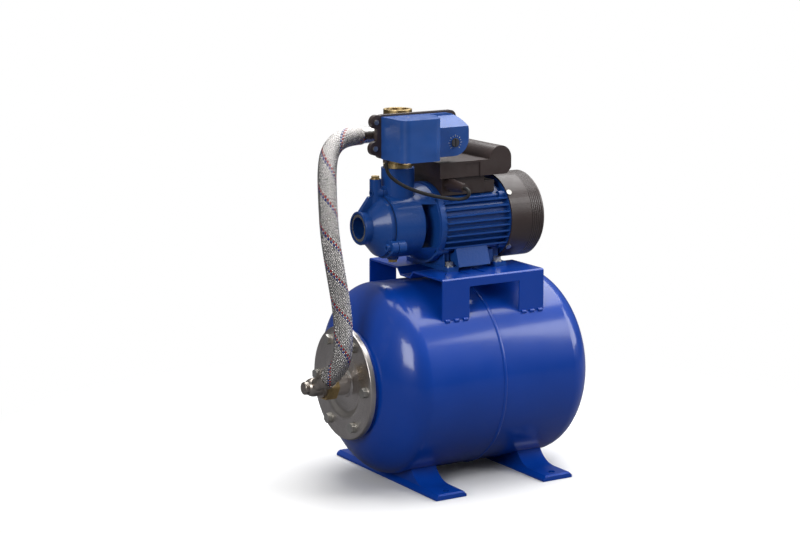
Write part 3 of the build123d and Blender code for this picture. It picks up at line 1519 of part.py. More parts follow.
# ---------------------------------------------------------------- export
def build():
    """Make every node and write it."""
    front_shell, rear_shell = tank_shells()
    nodes = {
        "tank_front_shell": front_shell,
        "tank_rear_shell": rear_shell,
        "tank_weld_seam": tank_weld_seam(),
        "tank_front_foot": tank_foot(tank_x - foot_spacing / 2),
        "tank_rear_foot": tank_foot(tank_x + foot_spacing / 2),
        "tank_flange_ring": flange_ring(),
        "tank_membrane": tank_membrane(),
        "flange_plate": flange_plate(),
        "flange_bolts": flange_bolts(),
        "air_valve": air_valve(),
        "air_valve_pin": air_valve_pin(),
        "air_valve_cap": air_valve_cap(),
        "pump_platform": pump_platform(),
        "platform_welds": platform_welds(),
        "suction_cover": suction_cover(),
        "pump_casing": pump_casing(),
        "casing_gasket": casing_gasket(),
        "casing_bolts": casing_bolts(),
        "priming_plug": priming_plug(),
        "drain_plug": drain_plug(),
        "impeller": impeller(),
        "impeller_nut": impeller_nut(),
        "seal_seat": seal_seat(),
        "seal_head": seal_head(),
        "motor_bracket": motor_bracket(),
        "shaft_slinger": shaft_slinger(),
        "bearing_outer_races": bearing_outer_races(),
        "bearing_inner_races": bearing_inner_races(),
        "bearing_balls": bearing_balls(),
        "shaft": shaft(),
        "rotor_core": rotor_core(),
        "stator_core": stator_core(),
        "stator_windings": stator_windings(),
        "motor_frame": motor_frame(),
        "rear_end_shield": rear_end_shield(),
        "cooling_fan": cooling_fan(),
        "fan_cover": fan_cover(),
        "fan_cover_screws": fan_cover_screws(),
        "tie_bolts": tie_bolts(),
        "motor_foot": motor_foot(),
        "foot_bolts": foot_bolts(),
        "terminal_box_base": terminal_box_base(),
        "terminal_box_cover": terminal_box_cover(),
        "run_capacitor": run_capacitor(),
        "terminal_block": terminal_block(),
        "cable_glands": motor_glands() + [switch_gland()],
        "outlet_fitting": outlet_fitting(),
        "switch_base": switch_base(),
        "switch_cover": switch_cover(),
        "switch_screws": switch_screws(),
        "setpoint_screw": setpoint_screw(),
        "switch_diaphragm": switch_diaphragm(),
        "switch_plunger": switch_plunger(),
        "switch_contacts": switch_contacts(),
        "upper_hose_nut": upper_hose_nut(),
        "upper_ferrule": upper_ferrule(),
        "elbow_union_nut": elbow_union_nut(),
        "hose_elbow": hose_elbow(),
        "braided_hose": cord(hose_points, hose_diameter, "braided_hose"),
        "control_lead": cord(lead_points, lead_diameter, "control_lead"),
    }
    os.makedirs("parts", exist_ok=True)
    for name, shapes in nodes.items():
        export_step(Compound(solids_of(shapes)), f"parts/{name}.step")


build()
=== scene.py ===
"""Looks of the water pump set: finishes, woven hose, control lead, dial, studio and camera."""

import math

import bpy
import numpy as np
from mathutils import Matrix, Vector


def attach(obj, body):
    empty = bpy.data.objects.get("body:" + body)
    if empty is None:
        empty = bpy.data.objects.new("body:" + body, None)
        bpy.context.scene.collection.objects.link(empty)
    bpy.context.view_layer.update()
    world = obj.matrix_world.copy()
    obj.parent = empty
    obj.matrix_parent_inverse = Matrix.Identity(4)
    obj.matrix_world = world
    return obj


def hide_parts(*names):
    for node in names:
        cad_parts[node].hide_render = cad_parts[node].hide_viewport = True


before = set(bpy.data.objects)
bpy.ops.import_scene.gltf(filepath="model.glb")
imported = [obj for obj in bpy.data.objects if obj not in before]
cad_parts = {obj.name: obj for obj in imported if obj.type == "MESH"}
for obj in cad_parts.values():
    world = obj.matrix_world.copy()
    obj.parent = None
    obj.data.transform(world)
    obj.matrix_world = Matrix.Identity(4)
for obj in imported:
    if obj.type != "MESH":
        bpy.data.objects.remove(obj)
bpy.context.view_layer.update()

bl_info = {
    "name": "Water pump set",
    "version": (1, 0, 0),
    "blender": (4, 5, 0),
    "location": "View3D > Sidebar > Pump set",
    "description": "Finishes, hose, lead, dial and studio for the water pump set",
    "category": "Object",
}

SHAFT_Z = 0.361
TANK_Z = 0.146
HOSE_ROUTE = (
    (-0.1265, 0.0, 0.489),
    (-0.152, 0.0, 0.489),
    (-0.178, -0.008, 0.475),
    (-0.191, -0.021, 0.450),
    (-0.198, -0.035, 0.412),
    (-0.202, -0.047, 0.365),
    (-0.196, -0.053, 0.312),
    (-0.187, -0.054, 0.262),
    (-0.186, -0.056, 0.218),
    (-0.1878, -0.0504, 0.1796),
    (-0.1955, -0.024, 0.162),
)
LEAD_ROUTE = (
    (-0.108, -0.038, 0.455),
    (-0.108, -0.038, 0.441),
    (-0.093, -0.042, 0.427),
    (-0.073, -0.048, 0.416),
    (-0.050, -0.056, 0.408),
    (-0.029, -0.068, 0.403),
    (-0.013, -0.081, 0.402),
    (-0.0065, -0.090, 0.408),
    (-0.0075, -0.088, 0.417),
    (-0.0075, -0.079, 0.417),
)
MOUTH_X = -0.12925
MOUTH_RADII = (0.01525, 0.0189)
MOUTH_DEPTH = 0.0002
DIAL_CENTRE = (-0.011, -0.060, 0.478)
DIAL_RING = (0.0066, 0.0080)
DIAL_RING_DEPTH = 0.0007
TICK_COUNT = 13
TICK_FIRST = 225.0
TICK_STEP = 22.5
TICK_RADIUS = 0.0087
TICK_HALF_WIDTH = 0.0002
TICK_DEPTH = 0.0004
TICK_LONG = 0.0022
TICK_SHORT = 0.0012

# The weave: distance between rings of points, points on a strand, wires in a strand, and
# the strands of each family that carry a colour.
RING_STEP = 0.0009
COLUMNS_PER_STRAND = 8
WIRES_PER_STRAND = 5.0
TRACER_EVERY = 12
STEEL_TINT = (0.80, 0.77, 0.75, 1.0)
TRACERS = {4: (0.62, 0.012, 0.015, 0.0), 5: (0.012, 0.045, 0.34, 0.0)}

# The fan cover's louvre lines, along X, with painted shade in their grooves, and where its paler
# rim starts.
LOUVRE_START = 0.118
LOUVRE_END = 0.1365
LOUVRE_HALF_PITCH = 0.0016
LOUVRE_GAIN = 620.0
RIM_START = 0.1378
RIM_COLOR = (0.13, 0.105, 0.1, 1.0)

LAMINATION = 0.00035
LAMINATION_GAIN = 2800.0

# The studio: what the object sees of the floor and sky, which look white to the camera.
FLOOR_TO_OBJECT = (0.14, 0.14, 0.15, 1.0)
FLOOR_FADE = (0.3, 0.75)
SKY_HEIGHTS = (-0.1, 0.9)
SKY_STRENGTHS = (0.06, 0.3)
# Name, place, side and power of each soft box.
LAMPS = (
    ("top", (0.45, 0.3, 1.8), 2.1, 54.0),
    ("right", (2.1, -1.3, 1.4), 1.5, 38.0),
    ("left", (-2.1, -1.2, 1.3), 1.1, 30.0),
)
LAMP_AIM = Vector((0.0, 0.0, 0.28))
CAMERA_TARGET = Vector((-0.0627, 0.0, 0.3009))
SENSOR_WIDTH = 36.0

SEAM_LIMIT = 0.000002
EDGE_ANGLE = math.radians(38.0)

# Which finish each CAD piece takes, and how far its edges are rounded, in millimetres.
FINISHES = {
    "tank_paint": (
        0.5,
        "tank_front_shell tank_rear_shell tank_weld_seam tank_front_foot tank_rear_foot "
        "tank_flange_ring pump_platform platform_welds",
    ),
    "cast_paint": (
        0.6,
        "suction_cover pump_casing motor_bracket motor_frame rear_end_shield motor_foot "
        "tie_bolts casing_bolts",
    ),
    "cover_plastic": (0.7, "switch_cover"),
    "dark_plastic": (
        0.6,
        "air_valve_cap terminal_box_base terminal_box_cover cable_glands switch_base "
        "switch_contacts cooling_fan",
    ),
    "fan_cover_plastic": (0.6, "fan_cover"),
    "dial_plastic": (0.3, "setpoint_screw"),
    "pale_plastic": (0.4, "run_capacitor terminal_block seal_seat"),
    "turned_steel": (0.4, "flange_plate"),
    "zinc_steel": (0.3, "flange_bolts fan_cover_screws foot_bolts switch_screws"),
    "ground_steel": (
        0.2,
        "impeller_nut bearing_outer_races bearing_inner_races bearing_balls shaft upper_ferrule",
    ),
    "laminated_steel": (0.2, "rotor_core stator_core"),
    "winding_copper": (0.5, "stator_windings"),
    "cast_brass": (
        0.5,
        "air_valve air_valve_pin priming_plug drain_plug impeller outlet_fitting switch_plunger "
        "upper_hose_nut elbow_union_nut",
    ),
    "cast_nickel": (0.5, "hose_elbow"),
    "rubber": (
        0.2,
        "tank_membrane casing_gasket seal_head shaft_slinger switch_diaphragm",
    ),
}


# ---------------------------------------------------------------- settings


class PumpPaint(bpy.types.PropertyGroup):
    """Colours of the pump set."""

    tank: bpy.props.FloatVectorProperty(
        name="Tank paint",
        description="Gloss paint of the tank, its feet and the platform",
        subtype="COLOR",
        default=(0.001, 0.050, 0.370),
        min=0.0,
        max=1.0,
    )
    pump: bpy.props.FloatVectorProperty(
        name="Pump paint",
        description="Paint on the pump and motor castings",
        subtype="COLOR",
        default=(0.009, 0.062, 0.275),
        min=0.0,
        max=1.0,
    )
    cover: bpy.props.FloatVectorProperty(
        name="Switch cover",
        description="Moulded colour of the pressure switch's cover",
        subtype="COLOR",
        default=(0.020, 0.085, 0.330),
        min=0.0,
        max=1.0,
    )
    dark: bpy.props.FloatVectorProperty(
        name="Dark plastic",
        description="Moulded colour of the terminal box, fan cover and glands",
        subtype="COLOR",
        default=(0.042, 0.028, 0.026),
        min=0.0,
        max=1.0,
    )


class PumpHose(bpy.types.PropertyGroup):
    """Sizes and weave of the braided hose and the control lead."""

    diameter: bpy.props.FloatProperty(
        name="Hose diameter",
        description="Outside diameter of the braid",
        default=0.026,
        min=0.010,
        max=0.040,
        unit="LENGTH",
    )
    pitch: bpy.props.FloatProperty(
        name="Braid pitch",
        description="Length in which a strand goes once round the hose",
        default=0.100,
        min=0.020,
        max=0.200,
        unit="LENGTH",
    )
    strands: bpy.props.IntProperty(
        name="Strands",
        description="Strands that run each way round the hose",
        default=24,
        min=8,
        max=48,
    )
    relief: bpy.props.FloatProperty(
        name="Relief",
        description="How far a strand stands over the gaps between strands",
        default=0.0010,
        min=0.0,
        max=0.002,
        unit="LENGTH",
    )
    lead_diameter: bpy.props.FloatProperty(
        name="Lead diameter",
        description="Outside diameter of the control lead",
        default=0.005,
        min=0.003,
        max=0.012,
        unit="LENGTH",
    )


class PumpStudio(bpy.types.PropertyGroup):
    """Camera placement and lens."""

    azimuth: bpy.props.FloatProperty(
        name="Azimuth",
        description="Direction of the camera round the pump set",
        default=math.radians(-31.49),
        subtype="ANGLE",
    )
    elevation: bpy.props.FloatProperty(
        name="Elevation",
        description="Height of the camera over the horizon",
        default=math.radians(10.8),
        subtype="ANGLE",
    )
    distance: bpy.props.FloatProperty(
        name="Distance",
        description="From the camera to the point that it looks at",
        default=3.038,
        min=0.5,
        unit="LENGTH",
    )
    lens: bpy.props.FloatProperty(
        name="Lens",
        description="Focal length of the camera in millimetres",
        default=98.1,
        min=10.0,
        unit="CAMERA",
    )


# ---------------------------------------------------------------- shader building


class Shader:
    """A node material with short ways to add nodes to it."""

    def __init__(self, name):
        self.material = bpy.data.materials.new(name)
        self.material.use_nodes = True
        self.tree = self.material.node_tree
        self.bsdf = self.tree.nodes["Principled BSDF"]
        self.coords = self.add("ShaderNodeTexCoord").outputs["Object"]

    def add(self, kind, inputs=None, **settings):
        """Adds a node. An input's value is a number, a colour or another node's output."""
        node = self.tree.nodes.new(kind)
        for key, value in settings.items():
            setattr(node, key, value)
        for key, value in (inputs or {}).items():
            self.feed(node, key, value)
        return node

    def feed(self, node, key, value):
        """Sets one input of a node."""
        if isinstance(value, bpy.types.NodeSocket):
            self.tree.links.new(value, node.inputs[key])
        else:
            node.inputs[key].default_value = value

    def set(self, **inputs):
        """Sets inputs of the surface, with underscores for the spaces in their names."""
        for key, value in inputs.items():
            self.feed(self.bsdf, key.replace("_", " "), value)

    def noise(self, scale, detail=3.0, stretch=(1.0, 1.0, 1.0), coords=None):
        """Noise of about that many features a metre."""
        place = self.add(
            "ShaderNodeMapping", {"Vector": coords or self.coords, "Scale": stretch}
        )
        return self.add(
            "ShaderNodeTexNoise",
            {"Vector": place.outputs[0], "Scale": scale, "Detail": detail},
        ).outputs["Fac"]

    def ramp(self, value, low, high, from_low=0.3, from_high=0.7):
        """Maps a noise's range to low and high."""
        node = self.add(
            "ShaderNodeMapRange",
            {"Value": value, "From Min": from_low, "From Max": from_high},
        )
        node.inputs["To Min"].default_value = low
        node.inputs["To Max"].default_value = high
        return node.outputs["Result"]

    def mix(self, factor, first, second):
        """Mixes two colours."""
        node = self.add("ShaderNodeMix", data_type="RGBA")
        self.feed(node, 0, factor)
        self.feed(node, 6, first)
        self.feed(node, 7, second)
        return node.outputs[2]

    def math(self, operation, first, second=0.0):
        """One sum on two values."""
        return self.add(
            "ShaderNodeMath", {0: first, 1: second}, operation=operation
        ).outputs[0]

    def bump(self, height, distance, strength=1.0, under=None):
        """Bump of that height in metres, over another bump."""
        inputs = {"Height": height, "Distance": distance, "Strength": strength}
        if under is not None:
            inputs["Normal"] = under
        return self.add("ShaderNodeBump", inputs).outputs["Normal"]

    def radius(self, z):
        """Distance from a line along X at that height."""
        parts = self.add("ShaderNodeSeparateXYZ", {"Vector": self.coords})
        up = self.math("SUBTRACT", parts.outputs["Z"], z)
        square = self.math(
            "ADD",
            self.math("MULTIPLY", parts.outputs["Y"], parts.outputs["Y"]),
            self.math("MULTIPLY", up, up),
        )
        return self.math("SQRT", square)


def rgba(color, factor=1.0):
    """A colour of four numbers, made lighter or darker."""
    return tuple(min(c * factor, 1.0) for c in color) + (1.0,)


def paint(name, color, rough, coat, peel, grit):
    """Paint: slight cloudiness, orange peel, fine grit and a clear gloss over it."""
    s = Shader(name)
    cloud = s.noise(9.0, 4.0)
    tone = s.mix(s.ramp(cloud, 0.0, 1.0), rgba(color, 0.93), rgba(color, 1.07))
    s.set(Base_Color=tone, Specular_IOR_Level=0.2)
    s.set(Roughness=s.ramp(s.noise(35.0, 5.0), rough * 0.85, rough * 1.2))
    s.set(Coat_Weight=coat, Coat_Roughness=s.ramp(s.noise(60.0), 0.12, 0.17))
    under = s.bump(s.noise(1400.0, 3.0), grit)
    s.set(Normal=s.bump(s.noise(260.0, 1.0), peel, under=under))
    return s.material


def moulding(name, color, rough, grain, coat=0.0):
    """Moulded plastic: fine spark texture and faint flow marks."""
    s = Shader(name)
    flow = s.noise(14.0, 4.0, (1.0, 1.0, 2.6))
    s.set(Base_Color=s.mix(s.ramp(flow, 0.0, 1.0), rgba(color, 0.88), rgba(color, 1.14)))
    s.set(Roughness=s.ramp(s.noise(80.0, 4.0), rough * 0.82, rough * 1.2))
    s.set(Coat_Weight=coat, Coat_Roughness=0.12)
    s.set(Normal=s.bump(s.noise(1900.0, 2.0), grain))
    return s.material


def metal(name, color, rough, grain, scale=900.0, stretch=(1.0, 1.0, 1.0), dull=0.75):
    """Bare metal: uneven tarnish, and a grain that may be drawn out one way."""
    s = Shader(name)
    stain = s.noise(40.0, 5.0)
    s.set(Metallic=1.0)
    s.set(Base_Color=s.mix(s.ramp(stain, 0.0, 1.0), rgba(color, dull), rgba(color, 1.05)))
    s.set(Roughness=s.ramp(s.noise(150.0, 4.0), rough * 0.75, rough * 1.3))
    s.set(Normal=s.bump(s.noise(scale, 3.0, stretch), grain))
    return s.material


def louvred_plastic(name, color):
    """Moulded plastic with fine louvre lines near its rear end, painted shade in their grooves,
    and a paler rim.
    """
    s = Shader(name)
    along = s.add("ShaderNodeSeparateXYZ", {"Vector": s.coords}).outputs["X"]
    line = s.math("MULTIPLY", s.math("PINGPONG", along, LOUVRE_HALF_PITCH), LOUVRE_GAIN)
    zone = s.math(
        "MULTIPLY",
        s.math("GREATER_THAN", along, LOUVRE_START),
        s.math("LESS_THAN", along, LOUVRE_END),
    )
    grooves = s.math("MULTIPLY", line, zone)
    rim = s.math("GREATER_THAN", along, RIM_START)
    flow = s.noise(14.0, 4.0, (1.0, 1.0, 2.6))
    tone = s.mix(s.ramp(flow, 0.0, 1.0), rgba(color, 0.88), rgba(color, 1.14))
    # Painted shade: the louvre grooves are darkened towards a third of the plastic's colour.
    louvre_shaded = s.mix(s.math("MULTIPLY", grooves, 0.6), tone, rgba(color, 0.35))
    s.set(Base_Color=s.mix(rim, louvre_shaded, RIM_COLOR))
    s.set(Roughness=s.ramp(s.noise(80.0, 4.0), 0.3, 0.44), Coat_Weight=0.1)
    grain = s.bump(s.noise(1900.0, 2.0), 0.00003)
    s.set(Normal=s.bump(grooves, 0.0005, under=grain))
    return s.material


def turned_metal(name, color, rough, z):
    """Bare metal with the fine rings that a lathe leaves round a line along X."""
    s = Shader(name)
    rings = s.add(
        "ShaderNodeTexNoise",
        {"W": s.radius(z), "Scale": 2600.0, "Detail": 4.0},
        noise_dimensions="1D",
    ).outputs["Fac"]
    stain = s.noise(30.0, 6.0)
    s.set(Metallic=1.0)
    tone = s.mix(s.ramp(stain, 0.0, 1.0), rgba(color, 0.82), rgba(color, 1.05))
    s.set(Base_Color=s.mix(s.ramp(rings, 0.0, 0.35), tone, rgba(color, 0.7)))
    s.set(Roughness=s.ramp(rings, rough * 0.8, rough * 1.25))
    s.set(Normal=s.bump(rings, 0.00006))
    return s.material


def layered_metal(name, color):
    """Sheet stack: lines across X, one for each lamination."""
    s = Shader(name)
    parts = s.add("ShaderNodeSeparateXYZ", {"Vector": s.coords})
    line = s.math("PINGPONG", parts.outputs["X"], LAMINATION)
    height = s.math("MULTIPLY", line, LAMINATION_GAIN)
    s.set(Metallic=1.0, Roughness=0.45)
    tone = s.mix(s.noise(60.0), rgba(color, 0.7), rgba(color, 1.1))
    s.set(Base_Color=s.mix(s.math("MULTIPLY", height, 0.4), tone, rgba(color, 0.4)))
    s.set(Normal=s.bump(height, 0.0001))
    return s.material


def braid_material():
    """Steel strands with coloured tracers, from the colours, wire phase and weave height on the
    mesh, with painted shade in the gaps between strands.
    """
    s = Shader("steel_braid")
    tint = s.add("ShaderNodeAttribute", attribute_name="tint")
    wire = s.add("ShaderNodeAttribute", attribute_name="wire").outputs["Fac"]
    depth = s.add("ShaderNodeAttribute", attribute_name="depth").outputs["Fac"]
    wires = s.math("SINE", s.math("MULTIPLY", wire, 2.0 * math.pi * WIRES_PER_STRAND))
    stain = s.ramp(s.noise(220.0, 4.0), 0.86, 1.0)
    # Painted shade: the strands darken to a few percent of their colour where the weave sinks
    # into the gaps between them.
    shade = s.math("MULTIPLY", stain, s.ramp(depth, 0.03, 1.0, 0.2, 0.8))
    color = s.add("ShaderNodeVectorMath", {0: tint.outputs["Color"]}, operation="SCALE")
    s.feed(color, "Scale", shade)
    s.set(Base_Color=color.outputs[0], Metallic=tint.outputs["Alpha"])
    s.set(Roughness=s.ramp(s.noise(500.0), 0.2, 0.34))
    s.set(Normal=s.bump(wires, 0.00006))
    return s.material


def finishes():
    """Builds every finish, as name to material."""
    colors = bpy.context.scene.pump_paint
    brass = (0.62, 0.46, 0.22)
    return {
        "tank_paint": paint("tank_paint", colors.tank, 0.36, 0.8, 0.00001, 0.000004),
        "cast_paint": paint("cast_paint", colors.pump, 0.38, 0.45, 0.00022, 0.00003),
        "cover_plastic": moulding("cover_plastic", colors.cover, 0.34, 0.00002, 0.25),
        "dark_plastic": moulding("dark_plastic", colors.dark, 0.42, 0.00003, 0.12),
        "dial_plastic": moulding("dial_plastic", (0.05, 0.05, 0.06), 0.4, 0.00002),
        "pale_plastic": moulding("pale_plastic", (0.78, 0.76, 0.7), 0.5, 0.00002),
        "turned_steel": turned_metal("turned_steel", (0.66, 0.62, 0.59), 0.34, TANK_Z),
        "zinc_steel": metal("zinc_steel", (0.6, 0.59, 0.55), 0.36, 0.00003),
        "ground_steel": metal("ground_steel", (0.6, 0.59, 0.58), 0.26, 0.00002, 2200.0),
        "laminated_steel": layered_metal("laminated_steel", (0.35, 0.35, 0.36)),
        "winding_copper": metal(
            "winding_copper", (0.75, 0.32, 0.14), 0.4, 0.0002, 700.0, (3.0, 0.6, 0.6)
        ),
        "cast_brass": metal("cast_brass", brass, 0.36, 0.00005, 700.0, dull=0.6),
        "cast_nickel": metal("cast_nickel", (0.5, 0.45, 0.4), 0.34, 0.00006, 600.0),
        "fan_cover_plastic": louvred_plastic("fan_cover_plastic", colors.dark),
        "rubber": moulding("rubber", (0.016, 0.015, 0.015), 0.6, 0.00004),
    }


# ---------------------------------------------------------------- geometry helpers


def soften(obj, width):
    """Joins the faces' shared edges and rounds the sharp ones, for light to catch."""
    mesh = obj.data
    custom = mesh.attributes.get("custom_normal")
    if custom:
        mesh.attributes.remove(custom)
    mesh.polygons.foreach_set("use_smooth", [True] * len(mesh.polygons))
    weld = obj.modifiers.new("weld", "WELD")
    weld.merge_threshold = SEAM_LIMIT
    bevel = obj.modifiers.new("edge", "BEVEL")
    bevel.width = width
    bevel.segments = 2
    bevel.limit_method = "ANGLE"
    bevel.angle_limit = EDGE_ANGLE
    bevel.use_clamp_overlap = True
    normals = obj.modifiers.new("normals", "WEIGHTED_NORMAL")
    normals.keep_sharp = True
    normals.weight = 80


def finish_nodes():
    """Gives each CAD piece its finish and its rounded edges."""
    materials = finishes()
    for name, (width, nodes) in FINISHES.items():
        for node in nodes.split():
            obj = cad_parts[node]
            obj.data.materials.clear()
            obj.data.materials.append(materials[name])
            soften(obj, width / 1000.0)


def link(obj, body="base", material=None):
    """Puts a new object in the scene on a CAD body and finish."""
    bpy.context.scene.collection.objects.link(obj)
    if material:
        obj.data.materials.append(bpy.data.materials[material])
    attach(obj, body)
    return obj


def route_curve(name, points, radius=0.0):
    """A smooth curve on a cord's route."""
    curve = bpy.data.curves.new(name, "CURVE")
    curve.dimensions = "3D"
    curve.resolution_u = 24
    curve.bevel_depth = radius
    curve.bevel_resolution = 8
    curve.use_fill_caps = True
    spline = curve.splines.new("NURBS")
    spline.points.add(len(points) - 1)
    for place, point in zip(spline.points, points):
        place.co = (*point, 1.0)
    spline.order_u = 3
    spline.use_endpoint_u = True
    return bpy.data.objects.new(name, curve)


def route_line(points, step):
    """Evenly spaced points on a route's smooth curve."""
    probe = route_curve("probe", points)
    bpy.context.scene.collection.objects.link(probe)
    mesh = bpy.data.meshes.new_from_object(
        probe.evaluated_get(bpy.context.evaluated_depsgraph_get())
    )
    line = np.array([v.co for v in mesh.vertices])
    bpy.data.objects.remove(probe)
    bpy.data.meshes.remove(mesh)
    along = np.concatenate([[0.0], np.cumsum(np.linalg.norm(np.diff(line, axis=0), axis=1))])
    count = int(round(along[-1] / step)) + 1
    places = np.linspace(0.0, along[-1], count)
    even = np.stack([np.interp(places, along, line[:, k]) for k in range(3)], axis=1)
    return places, even


def carried_frames(line):
    """Two directions across a line at each point, carried along it without twist."""
    ahead = np.gradient(line, axis=0)
    ahead /= np.linalg.norm(ahead, axis=1)[:, None]
    side = np.cross(ahead[0], (0.0, 1.0, 0.0))
    sides = []
    for direction in ahead:
        side = side - direction * side.dot(direction)
        side = side / np.linalg.norm(side)
        sides.append(side)
    sides = np.array(sides)
    return sides, np.cross(ahead, sides)


def braid_fields(along, turn, pitch, strands):
    """Height, tint and wire phase of the weave at each place on the hose."""
    first = strands * (turn + along / pitch)
    second = strands * (turn - along / pitch)
    over = (np.floor(first) + np.floor(second)) % 2 == 0
    across = np.where(over, first % 1.0, second % 1.0)
    length = np.where(over, second % 1.0, first % 1.0)
    crown = np.sqrt(np.clip(1.0 - (2.0 * across - 1.0) ** 2, 0.0, 1.0))
    height = crown * np.sqrt(np.sin(np.pi * length))
    strand = np.where(over, np.floor(first), np.floor(second)) % strands
    tint = np.zeros(height.shape + (4,))
    tint[...] = STEEL_TINT
    for place, color in TRACERS.items():
        tint[over & (strand % TRACER_EVERY == place)] = color
    return height, tint, across


def woven_hose(diameter, pitch, strands, relief):
    """The hose's woven steel sleeve as one tube mesh."""
    along, line = route_line(HOSE_ROUTE, RING_STEP)
    side, up = carried_frames(line)
    columns = strands * COLUMNS_PER_STRAND
    turn = np.arange(columns) / columns
    grid_s, grid_t = np.meshgrid(along, turn, indexing="ij")
    height, tint, wire = braid_fields(grid_s, grid_t, pitch, strands)
    radius = diameter / 2 - relief + relief * height
    angle = 2.0 * math.pi * grid_t
    places = (
        line[:, None, :]
        + side[:, None, :] * (np.cos(angle) * radius)[..., None]
        + up[:, None, :] * (np.sin(angle) * radius)[..., None]
    )
    rings = len(along)
    faces = []
    for i in range(rings - 1):
        for j in range(columns):
            k = (j + 1) % columns
            faces.append(
                (
                    i * columns + j,
                    i * columns + k,
                    (i + 1) * columns + k,
                    (i + 1) * columns + j,
                )
            )
    faces.append(tuple(reversed(range(columns))))
    faces.append(tuple(range((rings - 1) * columns, rings * columns)))
    mesh = bpy.data.meshes.new("woven_hose")
    mesh.from_pydata(places.reshape(-1, 3).tolist(), [], faces)
    mesh.polygons.foreach_set("use_smooth", [True] * len(mesh.polygons))
    colors = mesh.attributes.new("tint", "FLOAT_COLOR", "POINT")
    colors.data.foreach_set("color", tint.reshape(-1))
    # The weave height is stored as depth, which the braid's painted shade reads.
    for name, values in (("wire", wire), ("depth", height)):
        field = mesh.attributes.new(name, "FLOAT", "POINT")
        field.data.foreach_set("value", values.reshape(-1))
    mesh.materials.append(braid_material())
    return bpy.data.objects.new("woven_hose", mesh), line, float(along[-1])


def flat_ring(name, inner, outer, depth, centre, facets=96):
    """A ring that faces -Y, with that centre on its back."""
    cx, cy, cz = centre
    points = []
    faces = []
    for i in range(facets):
        angle = 2.0 * math.pi * i / facets
        c, s = math.cos(angle), math.sin(angle)
        for radius, back in ((inner, 0), (inner, 1), (outer, 1), (outer, 0)):
            points.append((cx + c * radius, cy - depth * back, cz + s * radius))
        for k in range(4):
            a, b = 4 * i + k, 4 * i + (k + 1) % 4
            far = 4 * ((i + 1) % facets)
            faces.append((a, b, far + (k + 1) % 4, far + k))
    mesh = bpy.data.meshes.new(name)
    mesh.from_pydata(points, [], faces)
    return bpy.data.objects.new(name, mesh)


def slab(name, low, high):
    """A box between two corners."""
    points = [
        (x, y, z) for x in (low[0], high[0]) for y in (low[1], high[1]) for z in (low[2], high[2])
    ]
    faces = [(0, 1, 3, 2), (4, 6, 7, 5), (0, 4, 5, 1), (2, 3, 7, 6), (0, 2, 6, 4), (1, 5, 7, 3)]
    mesh = bpy.data.meshes.new(name)
    mesh.from_pydata(points, [], faces)
    return bpy.data.objects.new(name, mesh)


# ---------------------------------------------------------------- operators


class PUMP_OT_finishes(bpy.types.Operator):
    """Gives every CAD piece its paint, plastic or metal"""

    bl_idname = "pump.finishes"
    bl_label = "Finishes"

    def execute(self, context):
        finish_nodes()
        return {"FINISHED"}


class PUMP_OT_hose(bpy.types.Operator):
    """Weaves the steel-braided hose between the switch and the tank"""

    bl_idname = "pump.hose"
    bl_label = "Braided hose"

    def execute(self, context):
        size = context.scene.pump_hose
        hose, line, length = woven_hose(size.diameter, size.pitch, size.strands, size.relief)
        link(hose, "base")
        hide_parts("braided_hose")
        return {"FINISHED"}


class PUMP_OT_lead(bpy.types.Operator):
    """Runs the control lead from the switch to the motor's gland"""

    bl_idname = "pump.lead"
    bl_label = "Control lead"

    def execute(self, context):
        diameter = context.scene.pump_hose.lead_diameter
        length = float(route_line(LEAD_ROUTE, 0.001)[0][-1])
        lead = route_curve("lead", LEAD_ROUTE, diameter / 2)
        link(lead, "base", "rubber")
        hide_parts("control_lead")
        return {"FINISHED"}


class PUMP_OT_dial(bpy.types.Operator):
    """Adds the ring and ticks round the switch's adjusting screw"""

    bl_idname = "pump.dial"
    bl_label = "Dial"

    def execute(self, context):
        x, y, z = DIAL_CENTRE
        ring = flat_ring("dial_ring", *DIAL_RING, DIAL_RING_DEPTH, DIAL_CENTRE)
        link(ring, "base", "cover_plastic")
        for i in range(TICK_COUNT):
            angle = math.radians(TICK_FIRST - TICK_STEP * i)
            low = (-TICK_HALF_WIDTH, -TICK_DEPTH, 0.0)
            high = (TICK_HALF_WIDTH, 0.0, TICK_SHORT if i % 2 else TICK_LONG)
            tick = slab(f"dial_tick_{i}", low, high)
            tick.rotation_euler = (0.0, math.pi / 2 - angle, 0.0)
            tick.location = (
                x + math.cos(angle) * TICK_RADIUS,
                y,
                z + math.sin(angle) * TICK_RADIUS,
            )
            link(tick, "base", "pale_plastic")
        return {"FINISHED"}


class PUMP_OT_mouth(bpy.types.Operator):
    """Bares the machined face round the suction thread"""

    bl_idname = "pump.mouth"
    bl_label = "Suction mouth"

    def execute(self, context):
        ring = flat_ring("mouth_ring", *MOUTH_RADII, MOUTH_DEPTH, (0.0, 0.0, 0.0))
        ring.rotation_euler = (0.0, 0.0, -math.pi / 2)
        ring.location = (MOUTH_X, 0.0, SHAFT_Z)
        link(ring, "base", "ground_steel")
        return {"FINISHED"}


class PUMP_OT_stage(bpy.types.Operator):
    """Sets the pale floor, the soft lights and the camera"""

    bl_idname = "pump.stage"
    bl_label = "Studio"

    def execute(self, context):
        studio = context.scene.pump_studio
        build_floor()
        build_world()
        build_lights()
        build_camera(studio)
        return {"FINISHED"}


